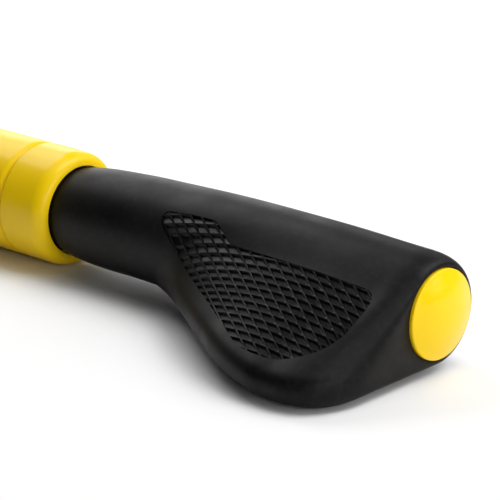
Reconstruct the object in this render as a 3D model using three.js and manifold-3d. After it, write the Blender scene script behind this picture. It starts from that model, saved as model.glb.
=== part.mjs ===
// Slide-hammer bead breaker with a winged rubber grip, lying on a flat surface.
//
// The tool is modelled along X. X = 0 is the front face of the guard collar, +X runs through the
// grip to its end cap and -X runs along the shaft to the blade. Z = 0 is the surface that the tool
// lies on, and Y = 0 is the shaft's axis. Units are millimetres. At the end the whole tool is moved
// so that the middle of its footprint is the origin.

import * as THREE from 'three';
import { mergeVertices } from 'three/addons/utils/BufferGeometryUtils.js';
import Module from 'manifold-3d';

const wasm = await Module();
wasm.setup();

// Fits
const GAP = 0.3; // clearance between pieces that touch on the real tool
const BARREL_R = 17; // collar, slide weight, anvil and clevis share this outer radius
const AXIS_Z = BARREL_R; // height of the shaft's axis above the surface

// Shaft
const SHAFT_R = 8;
const BORE_R = SHAFT_R + GAP;
const SHAFT_THREAD_R = 5;
const SHAFT_SHOULDER_X = 108;
const SHAFT_THREAD_LENGTH = 13;
const SHAFT_SOCKET_DEPTH = 26; // how far the shaft enters the clevis

// Grip
const GRIP_START_X = -2.6;
const GRIP_NECK_X = 0.5; // the neck is straight up to here, inside the collar
const GRIP_END_X = 133.2;
const GRIP_CORNER_R = 16; // plan radius of the wing's outer corner
const GRIP_CROWN = { length: 8.5, depth: 2.6 }; // elliptical rounding where the grip meets its end face
const PALM_SLOPE = THREE.MathUtils.degToRad(26);
const PALM_HOLLOW = 1.6; // how far the palm dips below a straight line
const HOLLOW_FADE_X = [122, 132]; // the hollow runs out over this length
const PAD_DEPTH = 0.2;
const PAD_THICKNESS = 1.1;
const CORE_NECK_R = 10.5;
const CORE_R = 12.2;
const CORE_STEP_X = [26, 34]; // the core grows from neck to full size over this length
const CORE_END_X = 129;
const CORE_CUP_R = 10.2; // room for the end nut and the cap's stem

// End cap
const CAP_R = 12.54;
const CAP_RIM_X = 134;
const CAP_DOME = 2.8;
const CAP_EDGE_R = 0.8;
const CAP_STEM = { radius: 9.9, start: 124 };

// End nut and washer
const END_WASHER = { outer: 9.9, start: SHAFT_SHOULDER_X + GAP, thickness: 2 };
const END_NUT = { flats: 17, length: 8 };

// Guard collar
const COLLAR_LENGTH = 16.2;
const COLLAR_EDGE_R = 3.5;
const COLLAR_REAR_R = 0.6;
const COLLAR_CUP = { radius: 13.3, depth: 3 }; // receives the grip's neck
const COLLAR_RECESS = { radius: 13.3, depth: 2 }; // receives the return washer
const SET_SCREW = { radius: 2.5, length: 6, x: -8.6, key: 1.5, keyDepth: 3 };
const RETURN_WASHER_R = 13;
const RETURN_GAP = 0.4; // parting between collar and weight

// Slide weight
const WEIGHT_LENGTH = 160;
const WEIGHT_STROKE = 130;
const WEIGHT_EDGE_R = 2.6;
const WEIGHT_BORE_R = 8.8;
const WIPER_SEAT = { radius: 11.2, depth: 3 };
const BUSH_SEAT = { radius: 10.5, depth: 18 };
const GROOVES = { count: 5, pitch: 15, depth: 1.7, start: 52 };

// Anvil and lock nut
const ANVIL = { length: 20, chamfer: 1.2 };
const ANVIL_PIN = { radius: 3, length: 31 };
const LOCK_NUT = { flats: 24, length: 8 };

// Clevis and pivot
const CLEVIS_BODY_LENGTH = 32;
const CLEVIS_CORNER_R = 4;
const PIVOT_FROM_BODY = 15;
const PIVOT_R = 5;
const PIVOT_HOLE_R = PIVOT_R + GAP;
const TONGUE_HALF = 6.8;
const TONGUE_R = 13;
const DISC = { outer: 11.5, thickness: 1.2 };
const PIVOT_WASHER = { outer: 10, thickness: 2 };
const BOLT_HEAD = { flats: 16, length: 6.8 };

// Clamp knob
const KNOB = { lobes: 5, lobeRadius: 16.2, waistRadius: 12.6, thickness: 14, hubRadius: 10, hubLength: 4.5 };
const INSERT = { outer: 7, length: 14.5 };

// Blade
const BLADE = {
  rear: 20, // distance from the pivot to the spade's rear edge
  length: 76,
  rearHalf: 27,
  frontHalf: 46,
  nose: 12, // how far the middle of the cutting edge leads its corners
  crown: 190, // radius of the spade's curve across its width
  rearHeight: 15,
  frontHeight: 7.2,
  rearThickness: 7,
  frontThickness: 2.4,
};
const RIB = { length: 40, startHeight: 9, endHeight: 3 };
const GUARD = { start: 0.3, end: 0.8, half: 24, thickness: 2.6 };
const GUARD_SCREW = { y: 15, u: 0.55, shank: 2, head: 4, headHeight: 2.2 };

// Axial positions that follow from the sizes above
const WEIGHT_FRONT_X = -COLLAR_LENGTH - RETURN_GAP;
const WEIGHT_BACK_X = WEIGHT_FRONT_X - WEIGHT_LENGTH;
const ANVIL_X = WEIGHT_BACK_X - WEIGHT_STROKE - GAP;
const LOCK_NUT_X = ANVIL_X - ANVIL.length - GAP;
const CLEVIS_X = LOCK_NUT_X - LOCK_NUT.length - GAP;
const CLEVIS_FLOOR_X = CLEVIS_X - CLEVIS_BODY_LENGTH;
const PIVOT_X = CLEVIS_FLOOR_X - PIVOT_FROM_BODY;
const SHAFT_TAIL_X = CLEVIS_X - SHAFT_SOCKET_DEPTH;
const SPADE_X = PIVOT_X - BLADE.rear;

const ROUND = 28; // facets around turned pieces

// Materials
const finish = (color, roughness, metalness) =>
  new THREE.MeshStandardMaterial({ color, roughness, metalness });
const rubber = finish(0x1c1c1d, 0.75, 0);
const texturedRubber = finish(0x161617, 0.85, 0);
const yellowPaint = finish(0xfad312, 0.35, 0);
const yellowPlastic = finish(0xfbd810, 0.3, 0);
const blackPlastic = finish(0x222224, 0.6, 0);
const chrome = finish(0xd4d6d8, 0.15, 1);
const steel = finish(0x8d9094, 0.4, 1);
const darkSteel = finish(0x3c3f43, 0.5, 1);
const bronze = finish(0xb08a4a, 0.4, 1);

// ---------------------------------------------------------------- solids

// Turns a closed three.js geometry into a solid that can be joined and cut.
function solid(geometry) {
  const bare = geometry.clone();
  bare.deleteAttribute('normal');
  bare.deleteAttribute('uv');
  const merged = mergeVertices(bare, 1e-4);
  const points = merged.getAttribute('position');
  const index = Array.from(merged.index.array);
  const triangles = [];
  let volume = 0;
  const a = new THREE.Vector3();
  const b = new THREE.Vector3();
  const c = new THREE.Vector3();
  for (let i = 0; i < index.length; i += 3) {
    const [p, q, r] = index.slice(i, i + 3);
    if (p === q || q === r || r === p) continue;
    triangles.push(p, q, r);
    a.fromBufferAttribute(points, p);
    b.fromBufferAttribute(points, q);
    c.fromBufferAttribute(points, r);
    volume += a.dot(b.cross(c));
  }
  if (volume < 0) triangles.reverse();
  const mesh = new wasm.Mesh({
    numProp: 3,
    vertProperties: new Float32Array(points.array),
    triVerts: new Uint32Array(triangles),
  });
  return new wasm.Manifold(mesh);
}

function toGeometry(manifold) {
  const mesh = manifold.getMesh();
  const geometry = new THREE.BufferGeometry();
  geometry.setAttribute('position', new THREE.BufferAttribute(new Float32Array(mesh.vertProperties), 3));
  geometry.setIndex(Array.from(mesh.triVerts));
  geometry.computeVertexNormals();
  return geometry;
}

// Revolves points of [radius, x] about the shaft's axis.
function turned(profile, segments = ROUND) {
  const points = profile.map(([radius, x]) => new THREE.Vector2(radius, x));
  const geometry = new THREE.LatheGeometry(points, segments);
  geometry.rotateZ(-Math.PI / 2);
  geometry.translate(0, 0, AXIS_Z);
  return solid(geometry);
}

const ring = (inner, outer, from, to) =>
  turned([[inner, from], [outer, from], [outer, to], [inner, to], [inner, from]]);

// A cylinder or prism along the shaft's axis.
function alongX(radius, from, to, sides = ROUND) {
  const geometry = new THREE.CylinderGeometry(radius, radius, Math.abs(to - from), sides);
  geometry.rotateZ(-Math.PI / 2);
  geometry.translate((from + to) / 2, 0, AXIS_Z);
  return solid(geometry);
}

// A cylinder or prism across the tool, centred on (x, axis height).
function alongY(radius, x, from, to, sides = ROUND) {
  const geometry = new THREE.CylinderGeometry(radius, radius, Math.abs(to - from), sides);
  geometry.translate(x, (from + to) / 2, AXIS_Z);
  return solid(geometry);
}

// A shape drawn in X and Z, given thickness across Y.
function plateAcrossY(shape, from, to, curveSegments = 16) {
  const geometry = new THREE.ExtrudeGeometry(shape, {
    depth: to - from,
    bevelEnabled: false,
    curveSegments,
  });
  geometry.rotateX(Math.PI / 2);
  geometry.translate(0, to, 0);
  return solid(geometry);
}

const hexRadius = (flats) => flats / Math.sqrt(3);

// An arc of [radius, x] points for a turned profile.
function arc(centreRadius, centreX, size, startDeg, endDeg, steps = 5) {
  const points = [];
  for (let i = 0; i <= steps; i += 1) {
    const angle = THREE.MathUtils.degToRad(THREE.MathUtils.lerp(startDeg, endDeg, i / steps));
    points.push([centreRadius + size * Math.sin(angle), centreX + size * Math.cos(angle)]);
  }
  return points;
}

// A smooth value that passes through [x, value] knots and is level beyond them.
function spline(knots) {
  const slope = (i) => {
    const before = knots[Math.max(i - 1, 0)];
    const after = knots[Math.min(i + 1, knots.length - 1)];
    return (after[1] - before[1]) / (after[0] - before[0]);
  };
  return (x) => {
    if (x <= knots[0][0]) return knots[0][1];
    const last = knots.length - 1;
    if (x >= knots[last][0]) return knots[last][1];
    let i = 0;
    while (x > knots[i + 1][0]) i += 1;
    const width = knots[i + 1][0] - knots[i][0];
    const t = (x - knots[i][0]) / width;
    const rise = t * t * (3 - 2 * t);
    return (
      knots[i][1] * (1 - rise) +
      knots[i + 1][1] * rise +
      width * (slope(i) * t * (1 - t) ** 2 - slope(i + 1) * t * t * (1 - t))
    );
  };
}

// A closed body lofted through rings of points, with flat fans at both ends.
function loft(rings) {
  const count = rings[0].length;
  const positions = rings.flat().flatMap((p) => p.toArray());
  const index = [];
  for (let i = 0; i + 1 < rings.length; i += 1) {
    for (let j = 0; j < count; j += 1) {
      const next = (j + 1) % count;
      const a = i * count + j;
      const b = i * count + next;
      index.push(a, b, b + count, a, b + count, a + count);
    }
  }
  [[0, 1], [rings.length - 1, 0]].forEach(([row, flip]) => {
    const centre = positions.length / 3;
    positions.push(rings[row][0].x, 0, AXIS_Z);
    for (let j = 0; j < count; j += 1) {
      const a = row * count + j;
      const b = row * count + ((j + 1) % count);
      index.push(...(flip ? [centre, b, a] : [centre, a, b]));
    }
  });
  const geometry = new THREE.BufferGeometry();
  geometry.setAttribute('position', new THREE.Float32BufferAttribute(positions, 3));
  geometry.setIndex(index);
  return solid(geometry);
}

// A closed sheet between two surfaces; surface(u, v, side) gives its points, side 0 above, 1 below.
function sheet(surface, across, along) {
  const positions = [];
  const index = [];
  const at = (side, i, j) => (side * (across + 1) + i) * (along + 1) + j;
  for (let side = 0; side < 2; side += 1) {
    for (let i = 0; i <= across; i += 1) {
      for (let j = 0; j <= along; j += 1) {
        positions.push(...surface(j / along, (2 * i) / across - 1, side).toArray());
      }
    }
  }
  const quad = (a, b, c, d) => index.push(a, b, c, a, c, d);
  for (let i = 0; i < across; i += 1) {
    for (let j = 0; j < along; j += 1) {
      quad(at(0, i, j), at(0, i, j + 1), at(0, i + 1, j + 1), at(0, i + 1, j));
      quad(at(1, i + 1, j), at(1, i + 1, j + 1), at(1, i, j + 1), at(1, i, j));
    }
  }
  for (let i = 0; i < across; i += 1) {
    quad(at(0, i, 0), at(0, i + 1, 0), at(1, i + 1, 0), at(1, i, 0));
    quad(at(0, i + 1, along), at(0, i, along), at(1, i, along), at(1, i + 1, along));
  }
  for (let j = 0; j < along; j += 1) {
    quad(at(0, 0, j + 1), at(0, 0, j), at(1, 0, j), at(1, 0, j + 1));
    quad(at(0, across, j), at(0, across, j + 1), at(1, across, j + 1), at(1, across, j));
  }
  const geometry = new THREE.BufferGeometry();
  geometry.setAttribute('position', new THREE.Float32BufferAttribute(positions, 3));
  geometry.setIndex(index);
  return solid(geometry);
}

// ---------------------------------------------------------------- grip form

// Each cross-section is a circle on the shaft's axis joined by straight flanks to a small circle at
// the wing's edge. The wing's circle starts inside the big one and swings out to the -Y side. The big
// circle rises off the shaft's axis by barrelLift, which thins the belly of the grip.
const barrelRadius = spline([
  [-2.6, 12.75], [0.5, 12.8], [3, 13.4], [10, 14.2], [18, 14.6], [34, 15.05], [60, 15.8], [90, 15.9],
  [114, 15.8], [131, 16],
]);
const barrelLift = spline([[3, 0], [16, 0.35], [30, 0.8], [100, 0.8], [126, 0]]);
const wingReach = spline([
  [30, 0.8], [39, 4.2], [47, 8.7], [56, 14.9], [66, 22], [76, 28.7], [93, 38.7], [107, 43.7], [114, 44],
]);
const wingHeight = spline([[30, 11], [39, 10.2], [47, 9.9], [60, 9.7], [80, 8.9], [96, 7.6], [114, 5.8]]);
const wingRadius = spline([[18, 5.2], [30, 7], [39, 6.8], [60, 5.5], [80, 5.4], [96, 5.3], [114, 4.9]]);

// How far an elliptical rounding at the grip's end has fallen away at one station.
const endDrop = (x, length, depth) => {
  const share = THREE.MathUtils.clamp((x - GRIP_END_X + length) / length, 0, 1);
  return depth * (1 - Math.sqrt(1 - share * share));
};

// At one station: distance from the big circle's centre to the skin, the wing's direction, the centre.
function gripSection(x, inset) {
  const trim = inset + endDrop(x, GRIP_CROWN.length, GRIP_CROWN.depth);
  const radius = barrelRadius(x) - trim;
  const tip = wingRadius(x) - trim;
  const out = wingReach(x) - endDrop(x, GRIP_CORNER_R, GRIP_CORNER_R);
  const centreZ = AXIS_Z + barrelLift(x);
  const down = centreZ - wingHeight(x);
  const reach = Math.hypot(out, down);
  const wingAngle = Math.atan2(down, out);
  const bend = Math.acos(THREE.MathUtils.clamp((radius - tip) / reach, -1, 1));
  const tipAngle = Math.atan2(tip * Math.sin(bend), reach + tip * Math.cos(bend));
  const fade = 1 - THREE.MathUtils.smoothstep(x, ...HOLLOW_FADE_X);
  const dip = PALM_HOLLOW * fade * THREE.MathUtils.smoothstep(out, 10, 40);
  const skin = (angle) => {
    const turn = Math.abs(angle);
    if (reach <= radius - tip || turn >= bend) return radius;
    if (turn < tipAngle) {
      return reach * Math.cos(turn) + Math.sqrt(Math.max(tip * tip - (reach * Math.sin(turn)) ** 2, 0));
    }
    const flank = radius / Math.cos(bend - turn);
    const along = (turn - tipAngle) / (bend - tipAngle);
    const hollow = angle > 0 ? dip * Math.sin(Math.PI * along ** 0.6) ** 2 : 0;
    return flank - hollow;
  };
  return { skin, wingAngle, centreZ };
}

const GRIP_AROUND = 40;

function gripForm(inset) {
  const stations = [];
  const straight = 18;
  const cornerSteps = 8;
  const cornerX = GRIP_END_X - GRIP_CORNER_R;
  stations.push(GRIP_START_X);
  for (let i = 0; i <= straight; i += 1) stations.push(THREE.MathUtils.lerp(GRIP_NECK_X, cornerX, i / straight));
  for (let i = 1; i <= cornerSteps; i += 1) {
    stations.push(cornerX + GRIP_CORNER_R * Math.sin((i / cornerSteps) * (Math.PI / 2)));
  }
  return loft(stations.map((x) => {
    const { skin, wingAngle, centreZ } = gripSection(x, inset);
    const points = [];
    for (let j = 0; j < GRIP_AROUND; j += 1) {
      const share = (2 * j) / GRIP_AROUND - 1;
      const angle = Math.sign(share) * Math.PI * Math.abs(share) ** 1.7;
      const heading = angle - wingAngle;
      const distance = skin(angle);
      points.push(new THREE.Vector3(x, -distance * Math.cos(heading), centreZ + distance * Math.sin(heading)));
    }
    return points;
  }));
}

// The textured field's outline, in X and distance down the palm from the shaft's axis.
function padOutline() {
  const shape = new THREE.Shape();
  shape.moveTo(46.5, 4);
  shape.quadraticCurveTo(55, 3.3, 62.5, 3.4);
  shape.quadraticCurveTo(65, 4.4, 68, 6.2);
  shape.quadraticCurveTo(71.5, 8.8, 75, 9);
  shape.lineTo(120.5, 10.6);
  shape.quadraticCurveTo(124.8, 10.8, 125.3, 16);
  shape.lineTo(125.6, 24);
  shape.bezierCurveTo(125.4, 34, 117.5, 42.2, 108, 42.2);
  shape.quadraticCurveTo(102, 42, 96.5, 39.2);
  shape.lineTo(47.5, 9.7);
  shape.quadraticCurveTo(42, 5.2, 46.5, 4);
  return shape.getPoints(4).slice(0, -1);
}

function grown(points, amount) {
  const count = points.length;
  const turn = Math.sign(THREE.ShapeUtils.area(points));
  return points.map((point, i) => {
    const along = points[(i + 1) % count].clone().sub(points[(i + count - 1) % count]).normalize();
    return new THREE.Vector2(point.x + turn * amount * along.y, point.y - turn * amount * along.x);
  });
}

// A prism over the textured field, square to the palm.
function padPrism(points) {
  const high = 40;
  const low = 8;
  const geometry = new THREE.ExtrudeGeometry(new THREE.Shape(points), {
    depth: high - low,
    bevelEnabled: false,
  });
  const downPalm = new THREE.Vector3(0, -Math.cos(PALM_SLOPE), -Math.sin(PALM_SLOPE));
  const intoPalm = new THREE.Vector3(1, 0, 0).cross(downPalm);
  geometry.applyMatrix4(new THREE.Matrix4().makeBasis(new THREE.Vector3(1, 0, 0), downPalm, intoPalm));
  geometry.translate(0, -high * intoPalm.y, AXIS_Z - high * intoPalm.z);
  return solid(geometry);
}

// ---------------------------------------------------------------- grip pieces

function gripSleeve() {
  const bore = turned([
    [0, GRIP_START_X - 1], [CORE_NECK_R + GAP, GRIP_START_X - 1], [CORE_NECK_R + GAP, CORE_STEP_X[0] - GAP],
    [CORE_R + GAP, CORE_STEP_X[1] - GAP], [CORE_R + GAP, CORE_END_X], [CAP_R + GAP, CORE_END_X],
    [CAP_R + GAP, GRIP_END_X + 1], [0, GRIP_END_X + 1],
  ]);
  const pocket = padPrism(padOutline()).subtract(gripForm(PAD_DEPTH + PAD_THICKNESS + GAP));
  return gripForm(0).subtract(bore).subtract(pocket);
}

function gripPad() {
  const slab = gripForm(PAD_DEPTH).subtract(gripForm(PAD_DEPTH + PAD_THICKNESS));
  return padPrism(grown(padOutline(), -GAP)).intersect(slab);
}

function gripCore() {
  return turned([
    [BORE_R, GRIP_START_X], [CORE_NECK_R, GRIP_START_X], [CORE_NECK_R, CORE_STEP_X[0]],
    [CORE_R, CORE_STEP_X[1]], [CORE_R, CORE_END_X], [CORE_CUP_R, CORE_END_X],
    [CORE_CUP_R, SHAFT_SHOULDER_X - GAP], [BORE_R, SHAFT_SHOULDER_X - GAP], [BORE_R, GRIP_START_X],
  ]);
}

function endCap() {
  const rim = CAP_R - CAP_EDGE_R;
  const sphere = (rim * rim + CAP_DOME * CAP_DOME) / (2 * CAP_DOME);
  const half = THREE.MathUtils.radToDeg(Math.asin(rim / sphere));
  return turned([
    [0, CAP_STEM.start], [CAP_STEM.radius, CAP_STEM.start], [CAP_STEM.radius, CORE_END_X + GAP],
    [CAP_R, CORE_END_X + GAP], ...arc(rim, CAP_RIM_X - CAP_EDGE_R, CAP_EDGE_R, 90, 0, 3),
    ...arc(0, CAP_RIM_X + CAP_DOME - sphere, sphere, half, 0, 4).slice(1, -1), [0, CAP_RIM_X + CAP_DOME],
  ]);
}

function endNut() {
  const start = END_WASHER.start + END_WASHER.thickness + GAP;
  const body = alongX(hexRadius(END_NUT.flats), start, start + END_NUT.length, 6);
  return body.subtract(alongX(SHAFT_THREAD_R + GAP, start - 1, start + END_NUT.length + 1));
}

// ---------------------------------------------------------------- collar and shaft

function guardCollar() {
  const body = turned([
    [BORE_R, COLLAR_RECESS.depth - COLLAR_LENGTH], [COLLAR_RECESS.radius, COLLAR_RECESS.depth - COLLAR_LENGTH],
    [COLLAR_RECESS.radius, -COLLAR_LENGTH],
    ...arc(BARREL_R - COLLAR_REAR_R, COLLAR_REAR_R - COLLAR_LENGTH, COLLAR_REAR_R, 180, 90, 4),
    ...arc(BARREL_R - COLLAR_EDGE_R, -COLLAR_EDGE_R, COLLAR_EDGE_R, 90, 0, 6),
    [COLLAR_CUP.radius, 0], [COLLAR_CUP.radius, -COLLAR_CUP.depth], [BORE_R, -COLLAR_CUP.depth],
    [BORE_R, COLLAR_RECESS.depth - COLLAR_LENGTH],
  ]);
  return body.subtract(alongY(SET_SCREW.radius + GAP, SET_SCREW.x, SHAFT_R, BARREL_R + 1, 16));
}

function collarSetScrew() {
  const inner = SHAFT_R + 2 * GAP;
  const outer = inner + SET_SCREW.length;
  const body = alongY(SET_SCREW.radius, SET_SCREW.x, inner, outer, 16);
  return body.subtract(alongY(SET_SCREW.key, SET_SCREW.x, outer - SET_SCREW.keyDepth, outer + 1, 6));
}

function shaft() {
  const body = turned([
    [0, SHAFT_TAIL_X], [SHAFT_R - 1, SHAFT_TAIL_X], [SHAFT_R, SHAFT_TAIL_X + 1], [SHAFT_R, SHAFT_SHOULDER_X],
    [SHAFT_THREAD_R, SHAFT_SHOULDER_X], [SHAFT_THREAD_R, SHAFT_SHOULDER_X + SHAFT_THREAD_LENGTH],
    [0, SHAFT_SHOULDER_X + SHAFT_THREAD_LENGTH],
  ]);
  const pinX = ANVIL_X - ANVIL.length / 2;
  return body.subtract(alongY(ANVIL_PIN.radius + GAP, pinX, -SHAFT_R - 1, SHAFT_R + 1, 16));
}

// ---------------------------------------------------------------- slide weight

function slideWeight() {
  const edge = WEIGHT_EDGE_R;
  const grooves = [];
  const perGroove = 4;
  for (let i = 0; i <= GROOVES.count * perGroove; i += 1) {
    const share = i / perGroove;
    const drop = GROOVES.depth * Math.sin(Math.PI * share) ** 2;
    grooves.push([BARREL_R - drop, WEIGHT_FRONT_X - GROOVES.start - share * GROOVES.pitch]);
  }
  const frontSeat = WEIGHT_FRONT_X - WIPER_SEAT.depth;
  const backSeat = WEIGHT_BACK_X + WIPER_SEAT.depth;
  return turned([
    [WIPER_SEAT.radius, WEIGHT_FRONT_X], ...arc(BARREL_R - edge, WEIGHT_FRONT_X - edge, edge, 0, 90, 4),
    ...grooves, ...arc(BARREL_R - edge, WEIGHT_BACK_X + edge, edge, 90, 180, 4),
    [WIPER_SEAT.radius, WEIGHT_BACK_X], [WIPER_SEAT.radius, backSeat], [BUSH_SEAT.radius, backSeat],
    [BUSH_SEAT.radius, backSeat + BUSH_SEAT.depth], [WEIGHT_BORE_R, backSeat + BUSH_SEAT.depth],
    [WEIGHT_BORE_R, frontSeat - BUSH_SEAT.depth], [BUSH_SEAT.radius, frontSeat - BUSH_SEAT.depth],
    [BUSH_SEAT.radius, frontSeat], [WIPER_SEAT.radius, frontSeat], [WIPER_SEAT.radius, WEIGHT_FRONT_X],
  ]);
}

// A bush and a wiper ring sit in each end of the weight; inward is -1 at the front and 1 behind.
function weightBush(faceX, inward) {
  const near = faceX + inward * (WIPER_SEAT.depth + GAP);
  const far = near + inward * (BUSH_SEAT.depth - 2 * GAP);
  return ring(BORE_R, BUSH_SEAT.radius - GAP, Math.min(near, far), Math.max(near, far));
}

function wiperRing(faceX, inward) {
  const near = faceX + inward * GAP;
  const far = faceX + inward * (WIPER_SEAT.depth - GAP);
  return ring(BORE_R, WIPER_SEAT.radius - GAP, Math.min(near, far), Math.max(near, far));
}

// ---------------------------------------------------------------- head

function anvilCollar() {
  const back = ANVIL_X - ANVIL.length;
  const { chamfer } = ANVIL;
  const body = turned([
    [BORE_R, ANVIL_X], [BARREL_R - chamfer, ANVIL_X], [BARREL_R, ANVIL_X - chamfer],
    [BARREL_R, back + chamfer], [BARREL_R - chamfer, back], [BORE_R, back], [BORE_R, ANVIL_X],
  ]);
  const pinX = ANVIL_X - ANVIL.length / 2;
  return body.subtract(alongY(ANVIL_PIN.radius + GAP, pinX, -BARREL_R - 1, BARREL_R + 1, 16));
}

function lockNut() {
  const back = LOCK_NUT_X - LOCK_NUT.length;
  const corner = hexRadius(LOCK_NUT.flats);
  const washerFace = LOCK_NUT.flats / 2;
  const rounding = turned([
    [0, LOCK_NUT_X], [washerFace, LOCK_NUT_X], [corner + 0.2, LOCK_NUT_X - 1.2], [corner + 0.2, back + 1.2],
    [washerFace, back], [0, back],
  ]);
  return alongX(corner, back, LOCK_NUT_X, 6).intersect(rounding).subtract(alongX(BORE_R, back - 1, LOCK_NUT_X + 1));
}

function headClevis() {
  const r = CLEVIS_CORNER_R;
  const side = new THREE.Shape();
  side.moveTo(CLEVIS_X - r, 0);
  side.quadraticCurveTo(CLEVIS_X, 0, CLEVIS_X, r);
  side.lineTo(CLEVIS_X, 2 * AXIS_Z - r);
  side.quadraticCurveTo(CLEVIS_X, 2 * AXIS_Z, CLEVIS_X - r, 2 * AXIS_Z);
  side.lineTo(PIVOT_X, 2 * AXIS_Z);
  side.absarc(PIVOT_X, AXIS_Z, AXIS_Z, Math.PI / 2, (3 * Math.PI) / 2, false);
  const body = plateAcrossY(side, -BARREL_R, BARREL_R);
  const slotHalf = TONGUE_HALF + DISC.thickness + 2 * GAP;
  const slot = new THREE.Shape();
  slot.moveTo(CLEVIS_FLOOR_X, -1);
  slot.lineTo(CLEVIS_FLOOR_X, 2 * AXIS_Z + 1);
  slot.lineTo(PIVOT_X - AXIS_Z - 1, 2 * AXIS_Z + 1);
  slot.lineTo(PIVOT_X - AXIS_Z - 1, -1);
  return body
    .subtract(plateAcrossY(slot, -slotHalf, slotHalf))
    .subtract(alongX(BORE_R, SHAFT_TAIL_X - 1, CLEVIS_X + 1))
    .subtract(alongY(PIVOT_HOLE_R, PIVOT_X, -BARREL_R - 1, BARREL_R + 1, 24));
}

const washerY = BARREL_R + GAP;
const outsideY = washerY + PIVOT_WASHER.thickness + GAP;

function discAcross(inner, outer, from, to) {
  return alongY(outer, PIVOT_X, from, to, 28).subtract(alongY(inner, PIVOT_X, from - 1, to + 1, 24));
}

function pivotBolt() {
  const head = alongY(hexRadius(BOLT_HEAD.flats), PIVOT_X, outsideY, outsideY + BOLT_HEAD.length, 6);
  const end = outsideY + INSERT.length - 1;
  return head.add(alongY(PIVOT_R, PIVOT_X, -end, outsideY + 1, 24));
}

function clampKnob() {
  const star = new THREE.Shape();
  const steps = KNOB.lobes * 8;
  for (let i = 0; i < steps; i += 1) {
    const angle = (i / steps) * 2 * Math.PI;
    const swell = (1 + Math.cos(KNOB.lobes * angle)) / 2;
    const radius = THREE.MathUtils.lerp(KNOB.waistRadius, KNOB.lobeRadius, swell ** 0.8);
    const x = PIVOT_X + radius * Math.cos(angle);
    const z = AXIS_Z + radius * Math.sin(angle);
    if (i === 0) star.moveTo(x, z);
    else star.lineTo(x, z);
  }
  const hubEnd = outsideY + KNOB.hubLength;
  const head = plateAcrossY(star, -hubEnd - KNOB.thickness, -hubEnd);
  const hub = alongY(KNOB.hubRadius, PIVOT_X, -hubEnd - 1, -outsideY, 28);
  const pocketEnd = outsideY + INSERT.length + 2 * GAP;
  return head.add(hub).subtract(alongY(INSERT.outer + GAP, PIVOT_X, -pocketEnd, -outsideY + 1, 24));
}

function knobInsert() {
  const from = outsideY + GAP;
  const body = alongY(INSERT.outer, PIVOT_X, -from - INSERT.length, -from, 24);
  return body.subtract(alongY(PIVOT_HOLE_R, PIVOT_X, -from - INSERT.length - 1, -from + 1, 24));
}

// ---------------------------------------------------------------- blade

const spadeThickness = (u) => THREE.MathUtils.lerp(BLADE.rearThickness, BLADE.frontThickness, u);

const spadeHeight = (u) =>
  THREE.MathUtils.lerp(BLADE.rearHeight, BLADE.frontHeight, THREE.MathUtils.smoothstep(u, 0, 1));

// A point on the spade's middle surface; u runs from rear to cutting edge, y across.
function spadePoint(u, v, offset) {
  const half = THREE.MathUtils.lerp(BLADE.rearHalf, BLADE.frontHalf, THREE.MathUtils.smoothstep(u, 0, 1));
  const y = v * half;
  const x = SPADE_X - u * (BLADE.length - BLADE.nose * v * v);
  return new THREE.Vector3(x, y, spadeHeight(u) - (y * y) / (2 * BLADE.crown) + offset);
}

function guardScrewHoles(radius) {
  const x = SPADE_X - GUARD_SCREW.u * BLADE.length;
  return [-1, 1].map((side) => {
    const geometry = new THREE.CylinderGeometry(radius, radius, 4 * AXIS_Z, 16);
    geometry.rotateX(Math.PI / 2);
    geometry.translate(x, side * GUARD_SCREW.y, AXIS_Z);
    return solid(geometry);
  });
}

function blade() {
  const spade = sheet((u, v, side) => spadePoint(u, v, (0.5 - side) * spadeThickness(u)), 12, 8);
  const ribEnd = SPADE_X - RIB.length;
  const tongue = new THREE.Shape();
  tongue.moveTo(PIVOT_X, AXIS_Z + TONGUE_R);
  tongue.absarc(PIVOT_X, AXIS_Z, TONGUE_R, Math.PI / 2, -Math.PI / 2, true);
  tongue.lineTo(SPADE_X, BLADE.rearHeight - BLADE.rearThickness / 2 + 1);
  tongue.lineTo(ribEnd, spadeHeight(RIB.length / BLADE.length) - 1);
  tongue.lineTo(ribEnd, spadeHeight(RIB.length / BLADE.length) + RIB.endHeight);
  tongue.quadraticCurveTo(SPADE_X - 4, BLADE.rearHeight + RIB.startHeight, PIVOT_X, AXIS_Z + TONGUE_R);
  let body = spade.add(plateAcrossY(tongue, -TONGUE_HALF, TONGUE_HALF));
  body = body.subtract(alongY(PIVOT_HOLE_R, PIVOT_X, -AXIS_Z, AXIS_Z, 24));
  guardScrewHoles(GUARD_SCREW.shank + GAP).forEach((hole) => {
    body = body.subtract(hole);
  });
  return body;
}

function rimGuard() {
  const surface = (t, v, side) => {
    const u = THREE.MathUtils.lerp(GUARD.start, GUARD.end, t);
    const half = THREE.MathUtils.lerp(BLADE.rearHalf, BLADE.frontHalf, THREE.MathUtils.smoothstep(u, 0, 1));
    const below = spadeThickness(u) / 2 + GAP + side * GUARD.thickness;
    return spadePoint(u, (v * GUARD.half) / half, -below);
  };
  let body = sheet(surface, 6, 4);
  guardScrewHoles(GUARD_SCREW.shank + GAP).forEach((hole) => {
    body = body.subtract(hole);
  });
  return body;
}

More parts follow.
